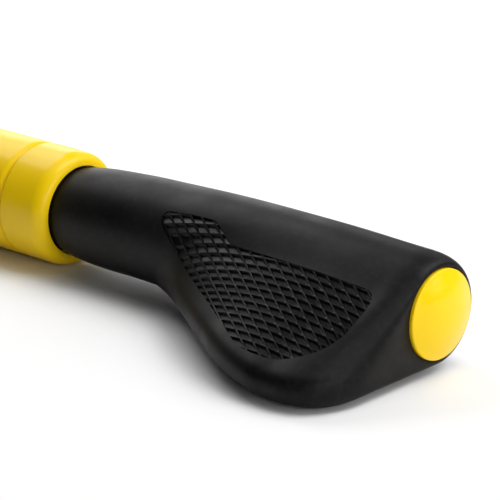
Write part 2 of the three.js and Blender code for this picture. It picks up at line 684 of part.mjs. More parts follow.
function rimGuardScrew(side) {
  const { u, y, shank, head, headHeight } = GUARD_SCREW;
  const x = SPADE_X - u * BLADE.length;
  const top = spadeHeight(u) - (y * y) / (2 * BLADE.crown) + spadeThickness(u) / 2 + 2 * GAP;
  const bottom = top - spadeThickness(u) - GUARD.thickness;
  const half = head * 0.6;
  const profile = [
    [0, bottom], [shank, bottom], [shank, top], [head, top], [head, top + headHeight * 0.4],
    [half, top + headHeight * 0.9], [0, top + headHeight],
  ];
  const geometry = new THREE.LatheGeometry(profile.map(([r, z]) => new THREE.Vector2(r, z)), 16);
  geometry.rotateX(Math.PI / 2);
  geometry.translate(x, side * y, 0);
  return solid(geometry);
}

// ---------------------------------------------------------------- assembly

const tool = new THREE.Group();

function place(name, manifold, material) {
  const mesh = new THREE.Mesh(toGeometry(manifold), material);
  mesh.name = name;
  tool.add(mesh);
}

place('grip_sleeve', gripSleeve(), rubber);
place('grip_texture_pad', gripPad(), texturedRubber);
place('grip_core', gripCore(), blackPlastic);
place('end_cap', endCap(), yellowPlastic);
place('shaft_end_washer', ring(SHAFT_THREAD_R + GAP, END_WASHER.outer, END_WASHER.start,
  END_WASHER.start + END_WASHER.thickness), steel);
place('shaft_end_nut', endNut(), steel);
place('guard_collar', guardCollar(), yellowPaint);
place('collar_set_screw', collarSetScrew(), darkSteel);
place('return_washer', ring(BORE_R + GAP, RETURN_WASHER_R, WEIGHT_FRONT_X + GAP,
  COLLAR_RECESS.depth - COLLAR_LENGTH - GAP), rubber);
place('shaft', shaft(), chrome);
place('slide_weight', slideWeight(), yellowPaint);
place('weight_bush_front', weightBush(WEIGHT_FRONT_X, -1), bronze);
place('weight_bush_rear', weightBush(WEIGHT_BACK_X, 1), bronze);
place('wiper_ring_front', wiperRing(WEIGHT_FRONT_X, -1), rubber);
place('wiper_ring_rear', wiperRing(WEIGHT_BACK_X, 1), rubber);
place('anvil_collar', anvilCollar(), darkSteel);
place('anvil_pin', alongY(ANVIL_PIN.radius, ANVIL_X - ANVIL.length / 2, -ANVIL_PIN.length / 2,
  ANVIL_PIN.length / 2, 16), steel);
place('shaft_lock_nut', lockNut(), steel);
place('head_clevis', headClevis(), darkSteel);
[-1, 1].forEach((side) => {
  const discY = [side * (TONGUE_HALF + GAP), side * (TONGUE_HALF + GAP + DISC.thickness)].sort((a, b) => a - b);
  const washer = [side * washerY, side * (washerY + PIVOT_WASHER.thickness)].sort((a, b) => a - b);
  const hand = side < 0 ? 'knob_side' : 'bolt_side';
  place(`friction_disc_${hand}`, discAcross(PIVOT_HOLE_R, DISC.outer, ...discY), blackPlastic);
  place(`pivot_washer_${hand}`, discAcross(PIVOT_HOLE_R, PIVOT_WASHER.outer, ...washer), steel);
});
place('pivot_bolt', pivotBolt(), steel);
place('clamp_knob', clampKnob(), yellowPlastic);
place('knob_insert', knobInsert(), bronze);
place('blade', blade(), darkSteel);
place('rim_guard', rimGuard(), blackPlastic);
place('rim_guard_screw_knob_side', rimGuardScrew(-1), steel);
place('rim_guard_screw_bolt_side', rimGuardScrew(1), steel);

const extent = new THREE.Box3().setFromObject(tool);
const middle = extent.getCenter(new THREE.Vector3());
tool.position.set(-middle.x, -middle.y, -extent.min.z);

export default tool;
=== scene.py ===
import math

import bmesh
import bpy
import numpy as np
from mathutils import Matrix, Vector


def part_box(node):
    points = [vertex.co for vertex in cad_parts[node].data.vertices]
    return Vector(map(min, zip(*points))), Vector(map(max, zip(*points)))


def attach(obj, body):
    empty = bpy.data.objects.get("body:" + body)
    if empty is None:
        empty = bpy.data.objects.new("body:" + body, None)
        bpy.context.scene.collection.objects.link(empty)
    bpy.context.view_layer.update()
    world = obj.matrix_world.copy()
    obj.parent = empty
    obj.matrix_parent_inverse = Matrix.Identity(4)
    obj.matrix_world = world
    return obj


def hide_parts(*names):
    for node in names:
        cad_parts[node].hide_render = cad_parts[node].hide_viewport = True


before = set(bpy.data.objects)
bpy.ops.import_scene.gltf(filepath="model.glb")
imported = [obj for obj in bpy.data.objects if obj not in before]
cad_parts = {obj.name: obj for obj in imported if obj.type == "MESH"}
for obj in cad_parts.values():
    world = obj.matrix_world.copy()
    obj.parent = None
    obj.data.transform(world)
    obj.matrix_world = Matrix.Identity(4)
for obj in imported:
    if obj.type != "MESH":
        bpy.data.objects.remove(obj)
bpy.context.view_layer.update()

# ---- tool frame
# Sizes below are in millimetres in the tool's own frame: X = 0 is the guard collar's front face,
# +X runs to the end cap, Y = 0 is the shaft's axis and Z = 0 is the surface that the tool lies on.
# Names that end in _M are in metres.

MM = 0.001
MERGE_M = 1e-7
SUBSURFACE_M = 0.002
_collar_low, _collar_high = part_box("guard_collar")
ORIGIN = Vector((_collar_high.x, (_collar_low.y + _collar_high.y) / 2, 0))
AXIS_Z = (_collar_low.z + _collar_high.z) / 2 / MM
BARREL_R = (_collar_high.z - _collar_low.z) / 2 / MM


def node_box(node):
    """Lowest and highest corners of a CAD node, in millimetres in the tool's frame."""
    low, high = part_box(node)
    return (low - ORIGIN) / MM, (high - ORIGIN) / MM


def span(node, axis):
    """Where a CAD node starts and ends along one axis, in millimetres."""
    low, high = node_box(node)
    return low[axis], high[axis]


def middle(node, axis):
    return sum(span(node, axis)) / 2


def half_width(node, axis):
    low, high = span(node, axis)
    return (high - low) / 2


def to_row(points):
    """Points in the tool's frame, as metres in the row frame."""
    return np.asarray(points, float) * MM + np.array(ORIGIN)


# ---- mesh helpers

def placed(name, data):
    """A new object in the scene that holds a mesh, light or camera."""
    item = bpy.data.objects.new(name, data)
    bpy.context.scene.collection.objects.link(item)
    return item


def solid_object(name, points, faces):
    """A closed mesh from points in the tool's frame, with its faces turned outward."""
    mesh = bpy.data.meshes.new(name)
    mesh.from_pydata([tuple(p) for p in to_row(points)], [], faces)
    bm = bmesh.new()
    bm.from_mesh(mesh)
    bmesh.ops.remove_doubles(bm, verts=bm.verts, dist=MERGE_M)
    bmesh.ops.recalc_face_normals(bm, faces=bm.faces)
    if bm.calc_volume(signed=True) < 0:
        bmesh.ops.reverse_faces(bm, faces=bm.faces)
    bm.to_mesh(mesh)
    bm.free()
    return placed(name, mesh)


def finish_mesh(name, points, faces, finish, body, replaces=(), smooth=35, weighted=True):
    """Makes one piece on a body; finish is a material and a slot name, which is not used; smooth is an angle
    in degrees.
    """
    material, slot = finish
    piece = solid_object(name, points, faces)
    piece.data.materials.append(material)
    piece.data.shade_smooth()
    piece.data.set_sharp_from_angle(angle=math.radians(smooth))
    if weighted:
        piece.modifiers.new("weighted_normals", "WEIGHTED_NORMAL").keep_sharp = True
    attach(piece, body)
    if replaces:
        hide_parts(*replaces)
    return piece


def rework(piece, kind, settings):
    """Applies modifiers of one kind, one for each dict of settings, ahead of the piece's own modifier."""
    weighted = len(piece.modifiers) > 0
    piece.modifiers.clear()
    for values in settings:
        modifier = piece.modifiers.new(kind.lower(), kind)
        for key, value in values.items():
            setattr(modifier, key, value)
    depsgraph = bpy.context.evaluated_depsgraph_get()
    depsgraph.update()
    mesh = bpy.data.meshes.new_from_object(piece.evaluated_get(depsgraph))
    piece.modifiers.clear()
    old = piece.data
    piece.data = mesh
    bpy.data.meshes.remove(old)
    if weighted:
        piece.modifiers.new("weighted_normals", "WEIGHTED_NORMAL").keep_sharp = True


def cut(piece, *cutters):
    """Cuts closed meshes out of a piece and removes them."""
    rework(piece, "BOOLEAN", [{"operation": "DIFFERENCE", "solver": "EXACT", "object": c} for c in cutters])
    for cutter in cutters:
        bpy.data.objects.remove(cutter)


def break_edges(piece, width):
    """Rounds every sharp edge of a piece by the same small width, in millimetres."""
    rework(piece, "BEVEL", [{
        "width": width * MM, "segments": 3, "limit_method": "ANGLE", "angle_limit": math.radians(40),
        "use_clamp_overlap": False,
    }])
    piece.data.set_sharp_from_angle(angle=math.radians(50))


def grid_faces(rows, columns, closed_rows=False, closed_columns=True):
    """Quads over a grid of points that is numbered row by row."""
    faces = []
    for i in range(rows if closed_rows else rows - 1):
        for j in range(columns if closed_columns else columns - 1):
            a = i * columns + j
            b = i * columns + (j + 1) % columns
            c = ((i + 1) % rows) * columns + (j + 1) % columns
            d = ((i + 1) % rows) * columns + j
            faces.append((a, b, c, d))
    return faces


def slab_faces(columns, rows):
    """Faces of a closed slab whose points are an upper grid and then a lower grid of the same size."""
    shift = columns * rows
    faces = grid_faces(columns, rows, closed_columns=False)
    faces += [tuple(i + shift for i in reversed(face)) for face in faces]
    border = [(i, i + rows) for k in (0, rows - 1) for i in range(k, shift - rows, rows)]
    border += [(i, i + 1) for k in (0, columns - 1) for i in range(k * rows, (k + 1) * rows - 1)]
    return faces + [(a, b, b + shift, a + shift) for a, b in border]


def fillet(corners, steps):
    """Rounds a profile's corners; corners are (radius, axial, fillet radius)."""
    points = []
    for i, (r, x, size) in enumerate(corners):
        here = Vector((r, x))
        if size <= 0 or i in (0, len(corners) - 1):
            points.append((r, x))
            continue
        back = (Vector(corners[i - 1][:2]) - here).normalized()
        ahead = (Vector(corners[i + 1][:2]) - here).normalized()
        half = back.angle(ahead) / 2
        reach = size / math.tan(half)
        centre = here + (back + ahead).normalized() * (size / math.sin(half))
        start = here + back * reach - centre
        end = here + ahead * reach - centre
        sweep = start.angle_signed(end)
        for k in range(steps + 1):
            spoke = Matrix.Rotation(-sweep * k / steps, 2) @ start
            points.append(tuple(centre + spoke))
    return points


def along_x():
    """Axes for a turned piece on the shaft's axis."""
    return lambda r, a, x: (x, r * math.cos(a), AXIS_Z + r * math.sin(a))


def along_y(x0):
    """Axes for a turned piece across the tool, centred on (x0, axis height)."""
    return lambda r, a, y: (x0 + r * math.sin(a), y, AXIS_Z + r * math.cos(a))


def along_z(x0, y0):
    """Axes for an upright turned piece centred on (x0, y0)."""
    return lambda r, a, z: (x0 + r * math.cos(a), y0 + r * math.sin(a), z)


def rings_mesh(rings, place, segments, closed):
    """Points and faces through rings of (radius, axial); a radius may be a function of angle."""
    points = []
    for radius, axial in rings:
        for j in range(segments):
            angle = 2 * math.pi * j / segments
            r = radius(angle) if callable(radius) else radius
            points.append(place(r, angle, axial))
    faces = grid_faces(len(rings), segments, closed_rows=closed)
    if not closed:
        for row in (0, len(rings) - 1):
            if callable(rings[row][0]) or rings[row][0] > 0:
                points.append(place(0, 0, rings[row][1]))
                centre = len(points) - 1
                base = row * segments
                faces += [(centre, base + j, base + (j + 1) % segments) for j in range(segments)]
    return points, faces


def turned(name, profile, finish, body, replaces, place=None, segments=112, closed=True, **kw):
    """A piece turned from rings of (radius, axial), about the shaft's axis unless place says otherwise."""
    points, faces = rings_mesh(profile, place or along_x(), segments, closed)
    return finish_mesh(name, points, faces, finish, body, replaces, **kw)


def rod(name, radius, start, end, place, segments):
    """A plain cylinder to cut with."""
    return solid_object(name, *rings_mesh([(radius, start), (radius, end)], place, segments, False))


def prism(outline, place, start, end):
    """Points and faces of a flat outline carried from start to end."""
    points = [place(a, b, t) for t in (start, end) for a, b in outline]
    count = len(outline)
    faces = [tuple(range(count)), tuple(range(2 * count - 1, count - 1, -1))]
    faces += [(j, (j + 1) % count, (j + 1) % count + count, j + count) for j in range(count)]
    return points, faces


def across_y(a, b, t):
    """Axes for an outline in X and Z that is carried along Y."""
    return (a, t, b)


def upward(a, b, t):
    """Axes for an outline in X and Y that is carried along Z."""
    return (a, b, t)


def arc_points(centre, radius, start_deg, end_deg, steps):
    turns = np.radians(np.linspace(start_deg, end_deg, steps + 1))
    return [(centre[0] + radius * math.cos(t), centre[1] + radius * math.sin(t)) for t in turns]


def edge_spaced(count):
    """Shares from -1 to 1 that lie closer together towards both ends."""
    share = np.linspace(-1, 1, count)
    return np.sign(share) * (1 - (1 - np.abs(share)) ** 1.8)


def rounded_plan(a, b, half, corner):
    """Pulls a square grid of shares in to a plan with rounded corners; half is its size in millimetres."""
    ring = np.maximum(np.maximum(np.abs(a), np.abs(b)), 1e-6)
    x = np.abs(a) / ring * half[0]
    y = np.abs(b) / ring * half[1]
    cx = half[0] - corner
    cy = half[1] - corner
    square = x * x + y * y
    middle = x * cx + y * cy
    root = np.sqrt(np.maximum(middle * middle - square * (cx * cx + cy * cy - corner * corner), 0))
    reach = np.where((x > cx) & (y > cy), (middle + root) / square, 1.0)
    pull = 1 - (1 - reach) * ring ** 6
    return a * pull, b * pull


def rounded_plate(surface, half, corner, edge_r, counts):
    """Closed plate with rounded edges; surface(a, b, side, drop) gives points for shares -1 to 1."""
    a, b = np.meshgrid(edge_spaced(counts[0]), edge_spaced(counts[1]), indexing="ij")
    inward = np.minimum((1 - np.abs(a)) * half[0], (1 - np.abs(b)) * half[1])
    near = edge_r - np.minimum(inward, edge_r)
    drop = edge_r - np.sqrt(np.maximum(edge_r * edge_r - near * near, 0))
    a, b = rounded_plan(a, b, half, corner)
    layers = [surface(a, b, side, drop) for side in (1, -1)]
    return np.vstack([layer.reshape(-1, 3) for layer in layers]), slab_faces(*counts)


def hexagon(flats, chamfer=None):
    """Radius of a hexagon by angle, optionally cut back to a circle."""
    def radius(angle):
        turn = (angle + math.pi / 6) % (math.pi / 3) - math.pi / 6
        r = flats / 2 / math.cos(turn)
        return min(r, chamfer) if chamfer else r
    return radius


def spline(knots):
    """A smooth value through (x, value) knots, level beyond them."""
    xs = np.array([k[0] for k in knots], float)
    ys = np.array([k[1] for k in knots], float)
    slopes = np.empty(len(xs))
    for i in range(len(xs)):
        a = max(i - 1, 0)
        b = min(i + 1, len(xs) - 1)
        slopes[i] = (ys[b] - ys[a]) / (xs[b] - xs[a])

    def value(x):
        x = np.clip(x, xs[0], xs[-1])
        i = np.clip(np.searchsorted(xs, x, side="right") - 1, 0, len(xs) - 2)
        width = xs[i + 1] - xs[i]
        t = (x - xs[i]) / width
        rise = t * t * (3 - 2 * t)
        bend = slopes[i] * t * (1 - t) ** 2 - slopes[i + 1] * t * t * (1 - t)
        return ys[i] * (1 - rise) + ys[i + 1] * rise + width * bend
    return value


def smoothstep(x, low, high):
    t = np.clip((x - low) / (high - low), 0, 1)
    return t * t * (3 - 2 * t)


# ---- materials

class Look:
    """A procedural material built up from layers of colour, roughness and bump.

    Pattern scales are cells per metre.
    """

    def __init__(self, name, color, roughness, metallic=0.0):
        self.material = bpy.data.materials.new(name)
        self.material.use_nodes = True
        self.nodes = self.material.node_tree.nodes
        self.links = self.material.node_tree.links
        self.coordinates = self.nodes.new("ShaderNodeTexCoord").outputs["Object"]
        self.metallic = metallic
        self.color = (*color, 1)
        self.rough = roughness
        self.normal = None

    def fill(self, node, values):
        """Sets a node's inputs: another node's output is linked, and anything else is a plain value."""
        for key, value in values.items():
            if isinstance(value, bpy.types.NodeSocket):
                self.links.new(value, node.inputs[key])
            else:
                node.inputs[key].default_value = value
        return node

    def add(self, kind, values):
        return self.fill(self.nodes.new(kind), values)

    def stretched(self, scale):
        """The object's coordinates, stretched so that a pattern runs along one axis."""
        values = {"Scale": scale, "Vector": self.coordinates}
        return self.add("ShaderNodeMapping", values).outputs["Vector"]

    def noise(self, scale, detail, distortion=0.0, vector=None):
        values = {"Scale": scale, "Detail": detail, "Distortion": distortion}
        values["Vector"] = vector or self.coordinates
        return self.add("ShaderNodeTexNoise", values).outputs["Fac"]

    def voronoi(self, scale):
        values = {"Scale": scale, "Vector": self.coordinates}
        return self.add("ShaderNodeTexVoronoi", values).outputs["Distance"]

    def ramp(self, value, low, high, out_low=0.0, out_high=1.0):
        values = {"From Min": low, "From Max": high, "To Min": out_low, "To Max": out_high, "Value": value}
        return self.add("ShaderNodeMapRange", values).outputs["Result"]

    def math(self, operation, a, b):
        node = self.add("ShaderNodeMath", {0: a, 1: b})
        node.operation = operation
        return node.outputs[0]

    def tint(self, mask, color):
        """Mixes a colour in where the mask is high."""
        node = self.nodes.new("ShaderNodeMix")
        node.data_type = "RGBA"
        self.fill(node, {"Factor": mask, "A": self.color, "B": (*color, 1)})
        self.color = node.outputs["Result"]

    def roughen(self, mask, amount):
        """Adds amount to the roughness where the mask is high."""
        self.rough = self.math("ADD", self.rough, self.math("MULTIPLY", mask, amount))

    def mottle(self, scale, detail, low, high, amount, color):
        """Mixes a colour in by up to an amount, in soft patches."""
        self.tint(self.ramp(self.noise(scale, detail), low, high, 0, amount), color)

    def uneven(self, scale, detail, amount):
        """Makes the roughness vary up and down by half of an amount."""
        self.roughen(self.ramp(self.noise(scale, detail), 0.35, 0.7, -0.5, 0.5), amount)

    def edges(self, low, high):
        """A mask that is high on convex edges."""
        geometry = self.nodes.new("ShaderNodeNewGeometry")
        return self.ramp(geometry.outputs["Pointiness"], low, high)

    def attribute(self, name):
        node = self.nodes.new("ShaderNodeAttribute")
        node.attribute_name = name
        return node.outputs["Fac"]

    def bump(self, height, distance_mm, strength):
        """Adds a fine relief on top of any that is there already."""
        node = self.add("ShaderNodeBump", {
            "Strength": strength, "Distance": distance_mm * MM, "Height": height,
        })
        if self.normal:
            self.fill(node, {"Normal": self.normal})
        self.normal = node.outputs["Normal"]

    def done(self, specular=0.5, coat=0.0, coat_roughness=0.1, subsurface=0.0):
        """Joins the layers to the shader and returns the material."""
        shader = self.fill(self.nodes["Principled BSDF"], {
            "Base Color": self.color, "Roughness": self.rough, "Metallic": self.metallic,
            "Specular IOR Level": specular, "Coat Weight": coat, "Coat Roughness": coat_roughness,
            "Subsurface Weight": subsurface, "Subsurface Scale": SUBSURFACE_M,
        })
        if self.normal:
            self.fill(shader, {"Normal": self.normal})
        return self.material


def moulded_rubber():
    look = Look("moulded_rubber", (0.0024, 0.0024, 0.0027), 0.47)
    look.mottle(38, 3, 0.42, 0.66, 0.5, (0.006, 0.006, 0.0064))
    look.mottle(620, 6, 0.50, 0.72, 0.6, (0.010, 0.0098, 0.0095))
    look.tint(look.edges(0.54, 0.68), (0.010, 0.010, 0.0105))
    look.uneven(90, 5, 0.12)
    look.bump(look.noise(3200, 3), 0.03, 0.5)
    look.bump(look.voronoi(5200), 0.02, 0.35)
    return look.done(specular=0.14)


def ribbed_rubber():
    look = Look("ribbed_rubber", (0.0016, 0.0016, 0.0018), 0.40)
    look.mottle(160, 5, 0.45, 0.7, 0.6, (0.003, 0.003, 0.003))
    # Painted highlight: the convex rib crests are tinted lighter to stand in for their lit top edges.
    look.tint(look.edges(0.52, 0.62), (0.014, 0.014, 0.014))
    look.uneven(300, 4, 0.15)
    look.bump(look.noise(4200, 3), 0.025, 0.5)
    return look.done(specular=0.14)


def yellow_plastic():
    look = Look("yellow_plastic", (0.90, 0.60, 0.003), 0.34)
    look.mottle(22, 3, 0.4, 0.68, 0.4, (0.93, 0.64, 0.004))
    look.mottle(1500, 2, 0.68, 0.8, 0.25, (0.80, 0.52, 0.003))
    look.uneven(140, 5, 0.10)
    look.bump(look.noise(700, 2), 0.015, 0.35)
    look.bump(look.noise(3800, 2), 0.008, 0.4)
    return look.done(specular=0.10, coat=0.35, coat_roughness=0.14, subsurface=0.04)


def yellow_coat():
    look = Look("yellow_coat", (0.88, 0.585, 0.003), 0.38)
    look.mottle(16, 4, 0.4, 0.68, 0.4, (0.91, 0.61, 0.004))
    look.mottle(900, 3, 0.66, 0.8, 0.25, (0.78, 0.48, 0.008))
    rub = look.math("MULTIPLY", look.edges(0.56, 0.70), look.ramp(look.noise(260, 5), 0.48, 0.62))
    look.tint(rub, (0.70, 0.43, 0.02))
    look.uneven(110, 5, 0.10)
    look.bump(look.noise(520, 2), 0.03, 0.35)
    look.bump(look.noise(3000, 2), 0.008, 0.35)
    return look.done(specular=0.10, coat=0.24, coat_roughness=0.16)


def black_nylon():
    look = Look("black_nylon", (0.024, 0.024, 0.026), 0.52)
    look.mottle(120, 4, 0.42, 0.68, 0.6, (0.036, 0.036, 0.038))
    look.tint(look.edges(0.53, 0.66), (0.06, 0.06, 0.062))
    look.uneven(240, 5, 0.16)
    look.bump(look.voronoi(1500), 0.04, 0.35)
    return look.done(specular=0.4)


def chrome_bar():
    look = Look("chrome_bar", (0.80, 0.81, 0.83), 0.12, 1.0)
    rings = look.stretched((2600, 60, 60))
    look.tint(look.ramp(look.noise(1, 4, vector=rings), 0.45, 0.7, 0, 0.35), (0.70, 0.71, 0.73))
    scratches = look.noise(1, 5, vector=look.stretched((18, 2400, 2400)))
    look.roughen(look.ramp(scratches, 0.52, 0.70), 0.16)
    look.roughen(look.ramp(look.noise(60, 4), 0.4, 0.7), 0.08)
    look.bump(look.noise(1, 3, vector=rings), 0.004, 0.5)
    return look.done()


def zinc_plate():
    look = Look("zinc_plate", (0.58, 0.59, 0.60), 0.28, 1.0)
    look.mottle(180, 5, 0.4, 0.68, 0.6, (0.47, 0.48, 0.49))
    look.tint(look.ramp(look.noise(40, 3, distortion=1.5), 0.5, 0.72, 0, 0.3), (0.62, 0.60, 0.52))
    look.tint(look.edges(0.53, 0.64), (0.78, 0.79, 0.80))
    look.roughen(look.ramp(look.noise(420, 6), 0.35, 0.7), 0.16)
    look.bump(look.noise(2200, 4), 0.012, 0.4)
    return look.done()


def black_oxide():
    look = Look("black_oxide", (0.045, 0.047, 0.052), 0.44, 0.8)
    look.mottle(30, 4, 0.40, 0.70, 0.35, (0.066, 0.068, 0.074))
    look.mottle(620, 4, 0.50, 0.75, 0.35, (0.085, 0.086, 0.090))
    worn = look.math("MULTIPLY", look.edges(0.55, 0.66), look.ramp(look.noise(420, 6), 0.42, 0.60))
    look.tint(worn, (0.26, 0.26, 0.27))
    look.roughen(look.ramp(look.noise(420, 6), 0.35, 0.7), 0.10)
    look.bump(look.noise(1400, 5), 0.03, 0.35)
    return look.done(specular=0.5)


def forged_steel():
    look = Look("forged_steel", (0.13, 0.132, 0.138), 0.50, 0.9)
    look.tint(look.ramp(look.noise(46, 6, distortion=0.6), 0.42, 0.68, 0, 0.8), (0.075, 0.074, 0.078))
    look.mottle(420, 6, 0.56, 0.74, 0.6, (0.21, 0.205, 0.20))
    worn = look.math("MULTIPLY", look.edges(0.52, 0.60), look.ramp(look.noise(260, 6), 0.40, 0.56))
    look.tint(worn, (0.50, 0.50, 0.51))
    ground = look.attribute("ground_edge")
    look.tint(ground, (0.60, 0.61, 0.62))
    look.roughen(look.ramp(look.noise(160, 6), 0.35, 0.7), 0.18)
    look.roughen(ground, -0.24)
    strokes = look.noise(1, 4, vector=look.stretched((90, 2400, 200)))
    look.bump(look.math("MULTIPLY", strokes, ground), 0.04, 0.5)
    look.bump(look.noise(520, 5), 0.10, 0.30)
    return look.done()


def turned_bronze():
    look = Look("turned_bronze", (0.52, 0.34, 0.13), 0.32, 1.0)
    look.mottle(160, 5, 0.42, 0.68, 0.6, (0.40, 0.25, 0.10))
    look.roughen(look.ramp(look.noise(320, 5), 0.35, 0.7), 0.15)
    look.bump(look.noise(1, 3, vector=look.stretched((2600, 60, 60))), 0.008, 0.5)
    return look.done()


RUBBER = (moulded_rubber(), "black_rubber")
RIBBED = (ribbed_rubber(), "textured_rubber")
CAP_YELLOW = (yellow_plastic(), "yellow_plastic")
COAT_YELLOW = (yellow_coat(), "yellow_paint")
NYLON = (black_nylon(), "black_plastic")
CHROME = (chrome_bar(), "chrome")
ZINC = (zinc_plate(), "zinc_steel")
OXIDE = (black_oxide(), "dark_steel")
FORGED = (forged_steel(), "blade_steel")
BRONZE = (turned_bronze(), "bronze")

# ---- grip

GRIP_START_X = -2.6
GRIP_END_X = 133.2
CORNER_R = 16.0
CROWN_LENGTH = 8.5
CROWN_DEPTH = 2.9
PALM_SLOPE = math.radians(26)
PALM_HOLLOW = 1.6
HOLLOW_FADE_X = (122, 132)
CORE_NECK_R = 10.8
CORE_BORE_R = 12.5
CORE_STEP_X = (26, 34)
CAP_SEAT_X = 129.0
CAP_R = half_width("end_cap", 1)

barrel_radius = spline([
    (-2.6, 12.75), (0.5, 12.8), (3, 13.4), (10, 14.2), (18, 14.6), (34, 15.05), (60, 15.8), (90, 15.9),
    (114, 15.8), (131, 16),
])
barrel_lift = spline([(3, 0), (16, 0.35), (30, 0.8), (100, 0.8), (126, 0)])
wing_reach = spline([
    (30, 0.8), (39, 4.2), (47, 8.7), (56, 14.9), (66, 22), (76, 28.7), (93, 38.7), (107, 43.7), (114, 44),
])
wing_height = spline([(30, 11), (39, 10.2), (47, 9.9), (60, 9.7), (80, 8.9), (96, 7.6), (114, 5.8)])
wing_radius = spline([(18, 5.2), (30, 7), (39, 6.8), (60, 5.5), (80, 5.4), (96, 5.3), (114, 4.9)])


def end_drop(x, length, depth):
    """How far an elliptical rounding at the grip's end has fallen away at one station."""
    share = np.clip((x - GRIP_END_X + length) / length, 0, 1)
    return depth * (1 - math.sqrt(1 - share * share))


def grip_section(x, angles):
    """Distance from the axis to the skin at each angle from the wing, and the wing's direction."""
    trim = end_drop(x, CROWN_LENGTH, CROWN_DEPTH)
    radius = barrel_radius(x) - trim
    tip = wing_radius(x) - trim
    out = wing_reach(x) - end_drop(x, CORNER_R, CORNER_R)
    down = AXIS_Z + barrel_lift(x) - wing_height(x)
    reach = math.hypot(out, down)
    wing_angle = math.atan2(down, out)
    turn = np.abs(angles)
    distance = np.full(len(angles), radius)
    if reach > radius - tip:
        bend = math.acos(np.clip((radius - tip) / reach, -1, 1))
        tip_angle = math.atan2(tip * math.sin(bend), reach + tip * math.cos(bend))
        dip = PALM_HOLLOW * smoothstep(out, 10, 40) * (1 - smoothstep(x, *HOLLOW_FADE_X))
        along = np.clip((turn - tip_angle) / (bend - tip_angle), 0, 1)
        hollow = np.where(angles > 0, dip * np.sin(math.pi * along ** 0.6) ** 2, 0)
        flank = radius / np.cos(np.clip(bend - turn, -1.5, 1.5)) - hollow
        inside = np.sqrt(np.maximum(tip * tip - (reach * np.sin(turn)) ** 2, 0))
        nose = reach * np.cos(turn) + inside
        distance = np.where(turn >= bend, radius, np.where(turn < tip_angle, nose, flank))
    return distance, wing_angle


def grip_points(x, angles):
    """Points of the grip's skin at one station."""
    distance, wing_angle = grip_section(x, angles)
    heading = angles - wing_angle
    centre_z = AXIS_Z + barrel_lift(x)
    return np.column_stack([
        np.full(len(angles), x), -distance * np.cos(heading), centre_z + distance * np.sin(heading),
    ])


GRIP_AROUND = 288
GRIP_SHARES = np.linspace(-1, 1, GRIP_AROUND, endpoint=False)
GRIP_ANGLES = np.sign(GRIP_SHARES) * math.pi * np.abs(GRIP_SHARES) ** 1.5


def grip_sleeve():
    corner_x = GRIP_END_X - CORNER_R
    stations = list(np.linspace(GRIP_START_X, corner_x, 120, endpoint=False))
    stations += [corner_x + CORNER_R * math.sin(t) for t in np.linspace(0, math.pi / 2, 34)]
    rings = [grip_points(x, GRIP_ANGLES) for x in stations]
    _, end_turn = grip_section(GRIP_END_X, GRIP_ANGLES)
    seat_r = CAP_R + 0.14
    inner = fillet([
        (seat_r + 0.3, GRIP_END_X, 0), (seat_r, GRIP_END_X - 0.3, 0.1), (seat_r, CAP_SEAT_X, 0.2),
        (CORE_BORE_R, CAP_SEAT_X, 0.2), (CORE_BORE_R, CORE_STEP_X[1], 0.5),
        (CORE_NECK_R, CORE_STEP_X[0], 0.5), (CORE_NECK_R, GRIP_START_X, 0),
    ], 4)
    for radius, x in inner:
        heading = GRIP_ANGLES - end_turn
        rings.append(np.column_stack([
            np.full(GRIP_AROUND, x), -radius * np.cos(heading), AXIS_Z + radius * np.sin(heading),
        ]))
    points = np.vstack(rings)
    faces = grid_faces(len(rings), GRIP_AROUND, closed_rows=True)
    sleeve = finish_mesh(
        "grip_sleeve_skin", points, faces, RUBBER, "handle", ["grip_sleeve"],
        smooth=50, weighted=False,
    )
    cut(sleeve, solid_object("pocket", *pad_slab(0, POCKET_DEPTH, lambda x, w: -POCKET_RISE, 3)))


# ---- textured field on the palm

POCKET_DEPTH = 1.0
POCKET_RISE = 3.0
PAD_GAP = (0.06, 0.03)
CREST_DEPTH = 0.12
CELL_DEPTH = 0.85
PAD_COLUMNS = 380
PAD_ROWS = 190
RAMP_PITCH = 2.6
RAMP_START = 9.9
RAMP_BOW = 0.0021
RAMP_BOW_X = 97
RAMP_CURVE = 1.2
RIB_PITCH = 4.45
RIB_START = 10
RIB_SLANT = 1.45
RIB_HALF = 0.16
RIB_FLANK = 0.30
WALL_SHARE = 0.16


def bezier(points, steps=24):
    """Points along a Bezier curve of any degree, without its last point."""
    points = np.array(points, float)
    curve = []
    for t in np.linspace(0, 1, steps, endpoint=False):
        level = points
        while len(level) > 1:
            level = level[:-1] * (1 - t) + level[1:] * t
        curve.append(level[0])
    return np.array(curve)


TOP_EDGE = np.vstack([
    bezier([(43.9, 6.4), (43.6, 4.2), (46.5, 4)]), bezier([(46.5, 4), (55, 3.3), (62.5, 3.4)]),
    bezier([(62.5, 3.4), (66, 5.2), (69, 7.2)]), bezier([(69, 7.2), (71.5, 8.9), (75, 9)]),
    bezier([(75, 9), (120.5, 10.6)]), bezier([(120.5, 10.6), (125.2, 10.8), (125.5, 17)]),
    [(125.7, 24)],
])
LOW_EDGE = np.vstack([
    bezier([(43.9, 6.4), (44.4, 7.8), (47.5, 9.7)]), bezier([(47.5, 9.7), (96.5, 39.2)]),
    bezier([(96.5, 39.2), (101.5, 42.2), (108, 42.2)]),
    bezier([(108, 42.2), (118.5, 42.2), (125.6, 34), (125.7, 24)]), [(125.7, 24)],
])


def palm_height(x, w, depth):
    """Height of the skin above the axis, square to the palm, at distances w down the palm."""
    angles = np.linspace(0, math.pi * 0.75, 700)
    skin = grip_points(x, angles)
    y = skin[:, 1]
    z = skin[:, 2] - AXIS_Z
    across = -y * math.cos(PALM_SLOPE) - z * math.sin(PALM_SLOPE)
    up = -y * math.sin(PALM_SLOPE) + z * math.cos(PALM_SLOPE)
    order = np.argsort(across)
    return np.interp(w, across[order], up[order]) - depth


